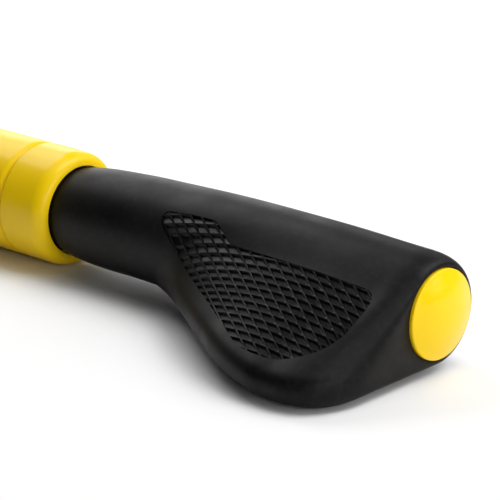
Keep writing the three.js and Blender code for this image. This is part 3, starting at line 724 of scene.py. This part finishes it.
def pad_relief(x, w):
    """Depth of the ribbed surface: ramps that rise down the palm, crossed by thin slanted ribs."""
    line = (w - RAMP_BOW * (x - RAMP_BOW_X) ** 2 - RAMP_START) / RAMP_PITCH
    share = line - np.floor(line)
    rising = np.maximum(share - WALL_SHARE, 0) / (1 - WALL_SHARE)
    ramp = np.where(share < WALL_SHARE, smoothstep(share, WALL_SHARE, 0.0), rising ** RAMP_CURVE)
    slanted = (x - RIB_SLANT * (w - RIB_START)) / RIB_PITCH
    off = np.abs(slanted - np.round(slanted)) * RIB_PITCH / math.hypot(1, RIB_SLANT)
    rib = 1 - smoothstep(off, RIB_HALF, RIB_HALF + RIB_FLANK)
    height = np.maximum(ramp, rib)
    return CREST_DEPTH + (CELL_DEPTH - CREST_DEPTH) * (1 - height)


def pad_surface(clearance, depth_of):
    """A grid of points over the field; depth_of(x, w) gives each one's depth below the skin."""
    x_low = TOP_EDGE[0, 0] + clearance
    x_high = TOP_EDGE[-1, 0] - clearance
    turn = np.linspace(0, math.pi, PAD_COLUMNS)
    share = 0.8 * np.linspace(0, 1, PAD_COLUMNS) + 0.2 * (1 - np.cos(turn)) / 2
    rows = np.linspace(0, 1, PAD_ROWS)
    down = np.array([0, -math.cos(PALM_SLOPE), -math.sin(PALM_SLOPE)])
    up = np.array([0, -math.sin(PALM_SLOPE), math.cos(PALM_SLOPE)])
    points = []
    for x in x_low + (x_high - x_low) * share:
        top = np.interp(x, TOP_EDGE[:, 0], TOP_EDGE[:, 1]) + clearance
        bottom = max(np.interp(x, LOW_EDGE[:, 0], LOW_EDGE[:, 1]) - clearance, top + 0.02)
        w = top + (bottom - top) * rows
        height = palm_height(x, w, depth_of(x, w))
        points.append(np.array([x, 0, AXIS_Z]) + w[:, None] * down + height[:, None] * up)
    return np.array(points)


def pad_slab(clearance, floor_depth, top_depth, step=1):
    """Points and faces of a closed slab over the field, from a flat floor up to a shaped top."""
    lower = pad_surface(clearance, lambda x, w: floor_depth)[::step, ::step]
    upper = pad_surface(clearance, top_depth)[::step, ::step]
    return np.vstack([upper.reshape(-1, 3), lower.reshape(-1, 3)]), slab_faces(*upper.shape[:2])


def grip_rib_field():
    side_gap, floor_gap = PAD_GAP
    points, faces = pad_slab(side_gap, POCKET_DEPTH - floor_gap, pad_relief)
    finish_mesh(
        "grip_rib_field", points, faces, RIBBED, "handle", ["grip_texture_pad"],
        smooth=48, weighted=False,
    )


grip_rib_field()
grip_sleeve()

# ---- end cap and collar

SHAFT_BORE_R = 8.3
CUP_R = 13.3
CUP_DEPTH = 3
RECESS_DEPTH = 2
CAP_RIM_X = 134.0
CAP_STEM_R = 9.9
CAP_SHOULDER_X = 129.3
NOSE_LENGTH = 4.4
NOSE_DEPTH = 3.5


def end_cap():
    low, high = node_box("end_cap")
    dome = high.x - CAP_RIM_X
    rim = CAP_R - 0.7
    sphere = (rim * rim + dome * dome) / (2 * dome)
    half = math.asin(rim / sphere)
    profile = fillet([
        (0, low.x, 0), (CAP_STEM_R, low.x, 0.6), (CAP_STEM_R, CAP_SHOULDER_X, 0.3),
        (CAP_R, CAP_SHOULDER_X, 0.3), (CAP_R, CAP_RIM_X - 0.1, 0.55), (rim, CAP_RIM_X + 0.12, 0.2),
        (rim - 1.2, CAP_RIM_X + 0.55, 0),
    ], 5)[:-1]
    for k in range(15, -1, -1):
        angle = half * 0.93 * k / 15
        profile.append((sphere * math.sin(angle), high.x - sphere * (1 - math.cos(angle))))
    turned("end_cap_dome", profile, CAP_YELLOW, "handle", ["end_cap"],
           closed=False, segments=160)


def guard_collar():
    start = span("guard_collar", 0)[0]
    recess = start + RECESS_DEPTH
    back = start - 0.2
    nose = [
        (BARREL_R - NOSE_DEPTH * (1 - math.cos(t)), -NOSE_LENGTH * (1 - math.sin(t)))
        for t in np.linspace(0, math.pi / 2, 16)
    ]
    profile = fillet([
        (SHAFT_BORE_R, recess, 0), (CUP_R, recess, 0.2), (CUP_R, back, 0.2), (BARREL_R, back, 0.6),
        (BARREL_R, -NOSE_LENGTH - 1, 0),
    ], 8) + nose + fillet([
        (BARREL_R - NOSE_DEPTH, 0, 0), (CUP_R, 0, 0.12), (CUP_R, -CUP_DEPTH, 0.2),
        (SHAFT_BORE_R, -CUP_DEPTH, 0),
    ], 5)[1:]
    collar = turned("guard_collar_body", profile, COAT_YELLOW, "handle", ["guard_collar"],
                    segments=192)
    screw_hole_r = 2.8
    cut(collar, rod("screw_hole", screw_hole_r, 8, 18, along_y(middle("collar_set_screw", 0)), 32))


end_cap()
guard_collar()

# ---- slide weight and shaft

WIPER_SEAT = (11.2, 3.0)
BUSH_SEAT = (10.5, 18.0)
WEIGHT_BORE_R = 8.8
GROOVES = {"count": 5, "pitch": 15.0, "depth": 1.7, "start": 52, "steps": 12}
SHAFT_R = 8
STUD_R = 5
SHOULDER_X = 108
PIN_HOLE_R = 3.3
PIN_X = middle("anvil_pin", 0)


def slide_weight():
    low, high = node_box("slide_weight")
    seat_r, seat = WIPER_SEAT
    bush_r, bush = BUSH_SEAT
    grooves = []
    for i in range(GROOVES["count"] * GROOVES["steps"] + 1):
        share = i / GROOVES["steps"]
        drop = GROOVES["depth"] * math.sin(math.pi * share) ** 2
        grooves.append((BARREL_R - drop, high.x - GROOVES["start"] - share * GROOVES["pitch"]))
    front = fillet([
        (seat_r, high.x - seat, 0), (seat_r, high.x, 0.3), (BARREL_R, high.x, 2.6),
        (BARREL_R, high.x - 40, 0),
    ], 10)
    rear = fillet([
        (BARREL_R, low.x + 20, 0), (BARREL_R, low.x, 1.9), (seat_r, low.x, 0.3), (seat_r, low.x + seat, 0),
    ], 10)
    inner = [
        (bush_r, low.x + seat), (bush_r, low.x + seat + bush), (WEIGHT_BORE_R, low.x + seat + bush),
        (WEIGHT_BORE_R, high.x - seat - bush), (bush_r, high.x - seat - bush), (bush_r, high.x - seat),
    ]
    turned("slide_weight_body", front + grooves + rear + inner, COAT_YELLOW, "hammer",
           ["slide_weight"], segments=160)


def shaft_bar():
    start, end = span("shaft", 0)
    profile = fillet([
        (0, start, 0), (SHAFT_R, start, 1), (SHAFT_R, SHOULDER_X, 0.4), (STUD_R, SHOULDER_X, 0.2),
        (STUD_R, end, 0.6), (0, end, 0),
    ], 5)
    bar = turned("shaft_bar", profile, CHROME, "handle", ["shaft"], closed=False, segments=128)
    cut(bar, rod("pin_hole", PIN_HOLE_R, -12, 12, along_y(PIN_X), 32))


slide_weight()
shaft_bar()

# ---- anvil, lock nut and head

def anvil():
    low, high = node_box("anvil_collar")
    profile = fillet([
        (SHAFT_BORE_R, high.x, 0), (BARREL_R - 1.5, high.x, 0.4), (BARREL_R, high.x - 1.5, 0.4),
        (BARREL_R, high.x - 6, 0.15), (BARREL_R - 0.7, high.x - 6.6, 0.15),
        (BARREL_R - 0.7, low.x + 2.2, 0.15), (BARREL_R, low.x + 1.6, 0.15), (BARREL_R, low.x + 0.8, 0.2),
        (BARREL_R - 0.8, low.x, 0.2), (SHAFT_BORE_R, low.x, 0),
    ], 4)
    piece = turned("anvil_body", profile, OXIDE, "handle", ["anvil_collar"], segments=144)
    cut(piece, rod("anvil_hole", PIN_HOLE_R, -20, 20, along_y(PIN_X), 40))


def hex_chamfer(flats, face, face_at, inward, steps=6):
    """Rings of a hexagon's chamfer, from its round face at face_at to its full corners."""
    corner = flats / math.sqrt(3)
    drop = (corner - face) * 0.55
    return [
        (hexagon(flats, face + (corner - face) * k / steps), face_at + inward * drop * k / steps)
        for k in range(1, steps + 1)
    ]


def hex_nut(name, node, flats, bore):
    """A nut on the shaft's axis with chamfered corners."""
    start, end = span(node, 0)
    face = flats / 2 * 0.97
    rings = [(bore, start), (bore, end), (face, end)] + hex_chamfer(flats, face, end, -1)
    rings += hex_chamfer(flats, face, start, 1)[::-1] + [(face, start)]
    points, faces = rings_mesh(rings, along_x(), 144, True)
    finish_mesh(name, points, faces, ZINC, "handle", [node], smooth=25)


anvil()
hex_nut("lock_nut", "shaft_lock_nut", 24, SHAFT_BORE_R)

# ---- small turned pieces

def plain_ring(name, node, axis, inner, edge, finish, body):
    """A ring with rounded edges that fills a round CAD node lying along X (axis 0) or Y (axis 1)."""
    start, end = span(node, axis)
    outer = half_width(node, 2)
    waist = (start + end) / 2
    profile = fillet([
        (inner, waist, 0), (inner, end, edge), (outer, end, edge), (outer, start, edge), (inner, start, edge),
        (inner, waist, 0),
    ], 4)[:-1]
    turned(name, profile, finish, body, [node], place=along_y(middle(node, 0)) if axis else along_x())


def grip_core():
    start, end = span("grip_core", 0)
    profile = fillet([
        (SHAFT_BORE_R, start, 0), (10.5, start, 0.4), (10.5, CORE_STEP_X[0], 1), (12.2, CORE_STEP_X[1], 1),
        (12.2, end, 0.4), (10.2, end, 0.4), (10.2, SHOULDER_X - 0.3, 0.4),
        (SHAFT_BORE_R, SHOULDER_X - 0.3, 0),
    ], 4)
    turned("grip_core_tube", profile, NYLON, "handle", ["grip_core"], segments=96)


def wiper_ring(name, node, outward):
    """A lip seal: its outer face carries a groove between the seat and the raised lip."""
    start, end = span(node, 0)
    face, back = (end, start) if outward > 0 else (start, end)
    groove = face - outward * 0.9
    profile = fillet([
        (SHAFT_BORE_R, back, 0), (SHAFT_BORE_R, face, 0.15), (8.9, face, 0.15), (9.2, groove, 0.2),
        (9.8, groove, 0.2), (10.1, face, 0.15), (10.9, face, 0.3), (10.9, back, 0.2),
    ], 3)
    turned(name, profile, RUBBER, "hammer", [node])


SOCKET_FLATS = 2.6


def collar_set_screw():
    start, end = span("collar_set_screw", 1)
    socket = hexagon(SOCKET_FLATS)
    profile = [
        (0, start), (2.0, start), (2.5, start + 0.5), (2.5, end - 0.4), (2.1, end),
        (hexagon(SOCKET_FLATS + 0.3), end), (socket, end - 0.25), (socket, end - 3), (0, end - 3.5),
    ]
    turned("set_screw", profile, OXIDE, "handle", ["collar_set_screw"],
           place=along_y(middle("collar_set_screw", 0)), closed=False, segments=96)


def anvil_pin():
    start, end = span("anvil_pin", 1)
    profile = fillet([
        (0, start + 0.6, 0), (1.2, start + 0.6, 0.1), (1.4, start, 0.1), (2.4, start, 0.1),
        (3, start + 0.9, 0.2), (3, end - 0.9, 0.2), (2.4, end, 0.1), (1.4, end, 0.1),
        (1.2, end - 0.6, 0.1), (0, end - 0.6, 0),
    ], 3)
    turned("anvil_cross_pin", profile, ZINC, "handle", ["anvil_pin"], place=along_y(PIN_X),
           closed=False, segments=64)


grip_core()
wiper_ring("wiper_front", "wiper_ring_front", 1)
wiper_ring("wiper_rear", "wiper_ring_rear", -1)
collar_set_screw()
anvil_pin()
plain_ring("end_washer", "shaft_end_washer", 0, STUD_R + 0.3, 0.3, ZINC, "handle")
hex_nut("end_nut", "shaft_end_nut", 17, STUD_R + 0.3)
plain_ring("return_pad", "return_washer", 0, SHAFT_BORE_R + 0.3, 0.3, RUBBER, "handle")
for end in ("front", "rear"):
    plain_ring(f"bush_{end}", f"weight_bush_{end}", 0, SHAFT_BORE_R, 0.5, BRONZE, "hammer")

# ---- clevis, pivot and knob

PIVOT_X = middle("pivot_washer_bolt_side", 0)
PIVOT_R = 5.0
PIVOT_HOLE_R = 5.3
SLOT_HALF = 8.6
SLOT_FLOOR = 15
SLOT_CORNER = 2
SEAT_R = 11.2
SEAT_DEPTH = 0.35
BOLT_FLATS = 16
THREAD = {"pitch": 1.5, "root": 4.45, "end": -12.0}


def head_clevis():
    low, high = node_box("head_clevis")
    corner = 4.0
    outline = arc_points((high.x - corner, low.z + corner), corner, -90, 0, 12)
    outline += arc_points((high.x - corner, high.z - corner), corner, 0, 90, 12)
    outline += arc_points((PIVOT_X, AXIS_Z), AXIS_Z, 90, 270, 64)
    points, faces = prism(outline, across_y, low.y, high.y)
    piece = finish_mesh("clevis_body", points, faces, OXIDE, "handle", ["head_clevis"])
    corner_x = PIVOT_X + SLOT_FLOOR - SLOT_CORNER
    corner_y = SLOT_HALF - SLOT_CORNER
    slot = [(low.x - 2, -SLOT_HALF)] + arc_points((corner_x, -corner_y), SLOT_CORNER, -90, 0, 8)
    slot += arc_points((corner_x, corner_y), SLOT_CORNER, 0, 90, 8) + [(low.x - 2, SLOT_HALF)]
    slot_cutter = solid_object("slot", *prism(slot, upward, low.z - 2, high.z + 2))
    bore = rod("bore", SHAFT_BORE_R, span("shaft", 0)[0] - 1, high.x + 1, along_x(), 72)
    pivot = rod("pivot", PIVOT_HOLE_R, low.y - 1, high.y + 1, along_y(PIVOT_X), 56)
    seats = [
        rod("seat", SEAT_R, side * (high.y - SEAT_DEPTH), side * (high.y + 2), along_y(PIVOT_X), 96)
        for side in (-1, 1)
    ]
    cut(piece, slot_cutter, bore, pivot, *seats)
    break_edges(piece, 0.55)


def pivot_bolt():
    start, end = span("pivot_bolt", 1)
    seat = span("pivot_washer_bolt_side", 1)[1] + 0.3
    face = BOLT_FLATS / 2 * 0.96
    rings = [(0, start), (4.3, start), (PIVOT_R, start + 0.8)]
    pitch = THREAD["pitch"]
    root = THREAD["root"]
    for k in range(int((THREAD["end"] - start - 1.5) / pitch)):
        at = start + 1.2 + k * pitch
        rings += [(PIVOT_R, at), (root, at + pitch * 0.4), (root, at + pitch * 0.5)]
        rings.append((PIVOT_R, at + pitch * 0.9))
    rings += [(PIVOT_R, seat), (face, seat), (face, seat + 0.4)]
    rings.append((hexagon(BOLT_FLATS, BOLT_FLATS / math.sqrt(3) - 0.15), seat + 0.45))
    rings += hex_chamfer(BOLT_FLATS, face, end, -1)[::-1] + [(face, end)]
    rings += [(face - 1.0, end), (face - 1.3, end - 0.35), (0, end - 0.35)]
    turned("pivot_bolt_body", rings, ZINC, "handle", ["pivot_bolt"], place=along_y(PIVOT_X),
           closed=False, segments=144, smooth=25)


KNOB = {"lobes": 5, "lobe": 16.2, "waist": 12.6, "edge": 2.6, "hub": 10, "hub_length": 4.5, "pocket": 7.3}


def star(inset):
    """The knob's five-lobed outline, by angle."""
    def radius(angle):
        swell = (1 + math.cos(KNOB["lobes"] * (angle - math.pi / 2))) / 2
        return KNOB["waist"] + (KNOB["lobe"] - KNOB["waist"]) * swell ** 0.8 - inset
    return radius


def clamp_knob():
    outer, near = span("clamp_knob", 1)
    hub_end = near - KNOB["hub_length"]
    edge = KNOB["edge"]
    hub = KNOB["hub"]
    pocket = KNOB["pocket"]
    pocket_end = span("knob_insert", 1)[0] - 0.3
    rings = [(0, pocket_end), (pocket, pocket_end), (pocket, near - 0.4), (pocket + 0.4, near)]
    rings += fillet([(hub - 1, near, 0), (hub, near, 0.6), (hub, hub_end, 1.2), (hub + 2, hub_end, 0)], 5)
    for t in np.linspace(0, math.pi / 2, 10):
        rings.append((star(edge * (1 - math.sin(t))), hub_end - edge * (1 - math.cos(t))))
    waist = (hub_end - edge + outer + edge) / 2
    rings.append((star(0), waist))
    for t in np.linspace(math.pi / 2, 0, 10):
        rings.append((star(edge * (1 - math.sin(t))), outer + edge * (1 - math.cos(t))))
    rings += fillet([(9.6, outer, 0), (9.0, outer, 0.4), (8.5, outer + 0.8, 0.4), (3.0, outer + 0.8, 0)], 4)
    rings += [(2.2, outer + 0.75), (1.2, outer + 0.6), (0, outer + 0.55)]
    turned("clamp_knob_body", rings, CAP_YELLOW, "knob", ["clamp_knob"],
           place=along_y(PIVOT_X), closed=False, segments=240, smooth=40)


def knob_insert():
    start, end = span("knob_insert", 1)
    waist = 6.2

    def flute(angle):
        return 6.85 + 0.15 * math.cos(30 * angle)

    rings = [
        (PIVOT_HOLE_R + 0.5, start), (6.5, start), (flute, start + 0.5), (flute, start + 6),
        (waist, start + 6.4), (waist, start + 8.1), (flute, start + 8.5), (flute, end - 0.5), (6.5, end),
        (PIVOT_HOLE_R + 0.5, end), (PIVOT_HOLE_R, end - 0.5), (PIVOT_HOLE_R, start + 0.5),
    ]
    turned("knob_insert_body", rings, BRONZE, "knob", ["knob_insert"], place=along_y(PIVOT_X),
           segments=240)


head_clevis()
pivot_bolt()
clamp_knob()
knob_insert()
for hand in ("knob_side", "bolt_side"):
    plain_ring(f"disc_{hand}", f"friction_disc_{hand}", 1, PIVOT_HOLE_R, 0.25, NYLON, "handle")
    plain_ring(f"washer_{hand}", f"pivot_washer_{hand}", 1, PIVOT_HOLE_R, 0.4, ZINC, "handle")

# ---- blade

SPADE_X = PIVOT_X - 20
SPADE_LENGTH = 76.0
SPADE_NOSE = 12.0
SPADE_HALF = (27.0, 46.0)
SPADE_HEIGHT = (15.0, 7.2)
SPADE_THICKNESS = (7.0, 2.4)
SPADE_CROWN = 190.0
TONGUE_HALF = 6.8
TONGUE_R = 13.0
RIB_LENGTH = 40.0
GROUND_LENGTH = 8.0
GROUND_EDGE = 0.7
PLATE_CORNER_R = 6.0
PLATE_EDGE_R = 0.9
GUARD_SPAN = (0.3, 0.8)
GUARD_HALF = 24.0
GUARD_THICKNESS = 2.6
SCREW_HOLE_R = 2.3
SCREW_X = middle("rim_guard_screw_bolt_side", 0)
SCREW_Y = middle("rim_guard_screw_bolt_side", 1)


def between(ends, share):
    return ends[0] + (ends[1] - ends[0]) * share


def spade_half(u):
    return between(SPADE_HALF, smoothstep(u, 0, 1))


def spade_height(u):
    return between(SPADE_HEIGHT, smoothstep(u, 0, 1))


def spade_thickness(u):
    return between(SPADE_THICKNESS, u)


def spade_point(u, y, offset):
    """A point at a share of the blade's length and a distance across it."""
    v = y / spade_half(u)
    x = SPADE_X - u * (SPADE_LENGTH - SPADE_NOSE * v * v)
    return np.stack([x, y + 0 * u, spade_height(u) - y * y / (2 * SPADE_CROWN) + offset], axis=-1)


def guard_screw_holes():
    return [
        rod("hole", SCREW_HOLE_R, -2, AXIS_Z + 8, along_z(SCREW_X, side * SCREW_Y), 40)
        for side in (-1, 1)
    ]


def spade_sheet():
    """The blade's curved sheet, ground to a thin front edge on its upper face."""
    def surface(a, b, side, drop):
        u = (a + 1) / 2
        thickness = spade_thickness(u)
        offset = side * (thickness / 2 - drop)
        if side > 0:
            ground = np.clip(1 - (1 - u) * SPADE_LENGTH / GROUND_LENGTH, 0, 1)
            offset = offset - ground * (thickness - drop - GROUND_EDGE)
        return spade_point(u, b * spade_half(u), offset)

    points, faces = rounded_plate(surface, (SPADE_LENGTH / 2, 36), PLATE_CORNER_R, PLATE_EDGE_R, (150, 110))
    sheet = finish_mesh("blade_sheet", points, faces, FORGED, "spade", ["blade"], smooth=38)
    cut(sheet, *guard_screw_holes())
    edge = sheet.data.attributes.new("ground_edge", "FLOAT", "POINT")
    for i, vertex in enumerate(sheet.data.vertices):
        at = (vertex.co - ORIGIN) / MM
        front = SPADE_X - (SPADE_LENGTH - SPADE_NOSE * (at.y / SPADE_HALF[1]) ** 2)
        edge.data[i].value = float(smoothstep(at.x - front, GROUND_LENGTH + 0.8, GROUND_LENGTH - 0.8))


def blade_tongue():
    rib_end = SPADE_X - RIB_LENGTH
    end_u = RIB_LENGTH / SPADE_LENGTH
    start = np.array([rib_end, float(spade_height(end_u)) + 3])
    bend = np.array([SPADE_X - 4, SPADE_HEIGHT[0] + 9])
    finish = np.array([PIVOT_X, AXIS_Z + TONGUE_R])
    outline = [tuple(start + np.array([0.0, -4.0]))]
    for t in np.linspace(0, 1, 30, endpoint=False):
        outline.append(tuple(start * (1 - t) ** 2 + bend * 2 * t * (1 - t) + finish * t * t))
    outline += arc_points((PIVOT_X, AXIS_Z), TONGUE_R, 90, -90, 56)
    outline.append((SPADE_X, SPADE_HEIGHT[0] - SPADE_THICKNESS[0] / 2 + 1))
    points, faces = prism(outline, across_y, -TONGUE_HALF, TONGUE_HALF)
    tongue = finish_mesh("blade_tongue", points, faces, FORGED, "spade", ["blade"])
    cut(tongue, rod("hole", PIVOT_HOLE_R, -10, 10, along_y(PIVOT_X), 56))
    break_edges(tongue, 0.8)


WELD = {"inset": 1.5, "corner": 2.0, "radius": 1.7, "ripple": 0.09, "ripple_pitch": 2.1}


def blade_weld():
    """A rippled bead where the tongue meets the sheet: along one side, round the rib's end and back."""
    length = RIB_LENGTH - WELD["inset"]
    corner = WELD["corner"]
    path = [(t, TONGUE_HALF) for t in np.linspace(WELD["inset"], length - corner, 90)]
    path += [
        (length - corner + corner * math.sin(t), TONGUE_HALF - corner + corner * math.cos(t))
        for t in np.linspace(0, math.pi / 2, 10)[1:]
    ]
    path += [(t, -y) for t, y in reversed(path)]
    around = 14
    points = []
    travelled = 0.0
    for i, (t, y) in enumerate(path):
        ahead = np.array(path[min(i + 1, len(path) - 1)]) - np.array(path[max(i - 1, 0)])
        travelled += float(np.hypot(*ahead)) / 2
        ahead = ahead / np.hypot(*ahead)
        ripple = WELD["ripple"] * math.sin(2 * math.pi * travelled / WELD["ripple_pitch"])
        size = WELD["radius"] * (1 + ripple)
        size *= 0.35 + 0.65 * min(1, i / 3, (len(path) - 1 - i) / 3)
        u = t / SPADE_LENGTH
        z = float(spade_height(u)) - y * y / (2 * SPADE_CROWN) + float(spade_thickness(u)) / 2 + 0.1
        for k in range(around):
            turn = 2 * math.pi * k / around
            side = size * math.cos(turn)
            rise = size * 0.75 * math.sin(turn)
            points.append((SPADE_X - t + ahead[1] * side, y + ahead[0] * side, z + rise))
    faces = grid_faces(len(path), around)
    last = (len(path) - 1) * around
    faces += [tuple(range(around)), tuple(range(last + around - 1, last - 1, -1))]
    finish_mesh("blade_weld_bead", points, faces, FORGED, "spade", smooth=60, weighted=False)


def rim_guard():
    """The moulded pad under the blade, with shallow grooves across its lower face."""
    def surface(a, b, side, drop):
        u = between(GUARD_SPAN, (a + 1) / 2)
        below = spade_thickness(u) / 2 + 0.3
        if side > 0:
            offset = -(below + drop)
        else:
            groove = smoothstep(np.cos(a * math.pi * 4.5), 0.72, 0.95)
            groove = groove * smoothstep(1 - np.abs(b), 0.10, 0.16) * smoothstep(1 - np.abs(a), 0.06, 0.12)
            offset = -(below + GUARD_THICKNESS - drop - 0.5 * groove)
        return spade_point(u, b * GUARD_HALF, offset)

    length = SPADE_LENGTH * (GUARD_SPAN[1] - GUARD_SPAN[0])
    points, faces = rounded_plate(surface, (length / 2, GUARD_HALF), PLATE_CORNER_R, PLATE_EDGE_R, (130, 90))
    guard = finish_mesh("rim_guard_pad", points, faces, NYLON, "spade", ["rim_guard"], smooth=38)
    cut(guard, *guard_screw_holes())


def guard_screw(hand):
    """A pan-head screw with a hexagon socket."""
    node = f"rim_guard_screw_{hand}"
    low, high = node_box(node)
    seat = high.z - 2.2
    socket = hexagon(SOCKET_FLATS)
    rings = [(0, low.z), (1.6, low.z), (2, low.z + 0.4), (2, seat), (3.8, seat), (4, seat + 0.25)]
    for t in np.linspace(0, math.pi / 2, 9):
        rings.append((4 - 1.9 * (1 - math.cos(t)), seat + 0.7 + 1.5 * math.sin(t)))
    rings += [(hexagon(SOCKET_FLATS + 0.35), high.z), (socket, high.z - 0.2), (socket, high.z - 1.5)]
    rings.append((0, high.z - 1.8))
    turned(f"guard_screw_{hand}", rings, ZINC, "spade", [node], closed=False, segments=96,
           place=along_z((low.x + high.x) / 2, (low.y + high.y) / 2))


spade_sheet()
blade_tongue()
blade_weld()
rim_guard()
guard_screw("knob_side")
guard_screw("bolt_side")

# ---- stage, light and camera

LIGHT_AIM = (70, -10, 12)
FLOOR_HALF_M = 6.0


def soft_light(name, at, size, power, aim=LIGHT_AIM):
    """A large white panel; at, aim and size are in millimetres in the tool's frame."""
    data = bpy.data.lights.new(name, "AREA")
    data.shape = "RECTANGLE"
    data.size = size[0] * MM
    data.size_y = size[1] * MM
    data.energy = power
    light = placed(name, data)
    light.location = to_row(at)
    light.rotation_euler = (Vector(aim) - Vector(at)).to_track_quat("-Z", "Y").to_euler()
    light.visible_camera = False


def floor_plane():
    mesh = bpy.data.meshes.new("floor")
    corners = [(x * FLOOR_HALF_M, y * FLOOR_HALF_M, 0) for x, y in ((-1, -1), (1, -1), (1, 1), (-1, 1))]
    mesh.from_pydata(corners, [], [(0, 1, 2, 3)])
    floor = placed("floor", mesh)
    look = Look("floor_white", (0.92, 0.92, 0.92), 0.6)
    look.mottle(3, 2, 0.4, 0.7, 0.3, (0.90, 0.90, 0.905))
    mesh.materials.append(look.done(specular=0.3))


def world_light():
    """A faint even fill, so that no side of the tool goes fully black."""
    world = bpy.data.worlds.new("studio")
    world.use_nodes = True
    background = world.node_tree.nodes["Background"]
    background.inputs["Color"].default_value = (1.0, 1.0, 1.0, 1)
    background.inputs["Strength"].default_value = 0.01
    bpy.context.scene.world = world


CAMERA_AT = (590.4, -588.2, 287.0)
CAMERA_AIM = (54.75, 12.7, 13.95)


def photo_camera():
    data = bpy.data.cameras.new("camera")
    data.lens = 216
    data.sensor_width = 36
    data.clip_start = 0.01
    camera = placed("camera", data)
    at = Vector(to_row(CAMERA_AT))
    camera.location = at
    camera.rotation_euler = (Vector(to_row(CAMERA_AIM)) - at).to_track_quat("-Z", "Y").to_euler()
    bpy.context.scene.camera = camera


floor_plane()
world_light()
soft_light("neck_panel_high", (-250, 90, 340), (260, 260), 0.72, aim=(40, 0, 20))
soft_light("neck_panel_low", (-320, 340, 150), (260, 200), 0.42, aim=(40, 0, 20))
soft_light("cap_panel", (700, 100, 900), (300, 300), 0.6)
soft_light("back_panel", (0, 700, 350), (700, 400), 0.65)
soft_light("key_panel", (600, 500, 800), (600, 600), 3.1)
soft_light("back_key", (350, 650, 700), (500, 500), 1.1)
soft_light("high_key", (450, 250, 1000), (600, 600), 4.5)
soft_light("overhead", (70, 0, 1150), (800, 800), 1.8)
soft_light("head_panel", (-450, 100, 1000), (700, 600), 0.4, aim=(-350, 0, 10))
soft_light("right_panel", (950, 0, 450), (500, 500), 1.9)
soft_light("cap_glint", (860, 470, 230), (300, 240), 0.35, aim=(135, 0, 20))
soft_light("cap_fill", (900, -250, 250), (400, 300), 1.0)
soft_light("front_fill", (800, -500, 300), (500, 400), 0.95)
soft_light("left_fill", (-900, 0, 450), (600, 600), 0.45)
photo_camera()

bpy.context.scene.view_settings.view_transform = "Standard"
bpy.context.scene.view_settings.look = "None"
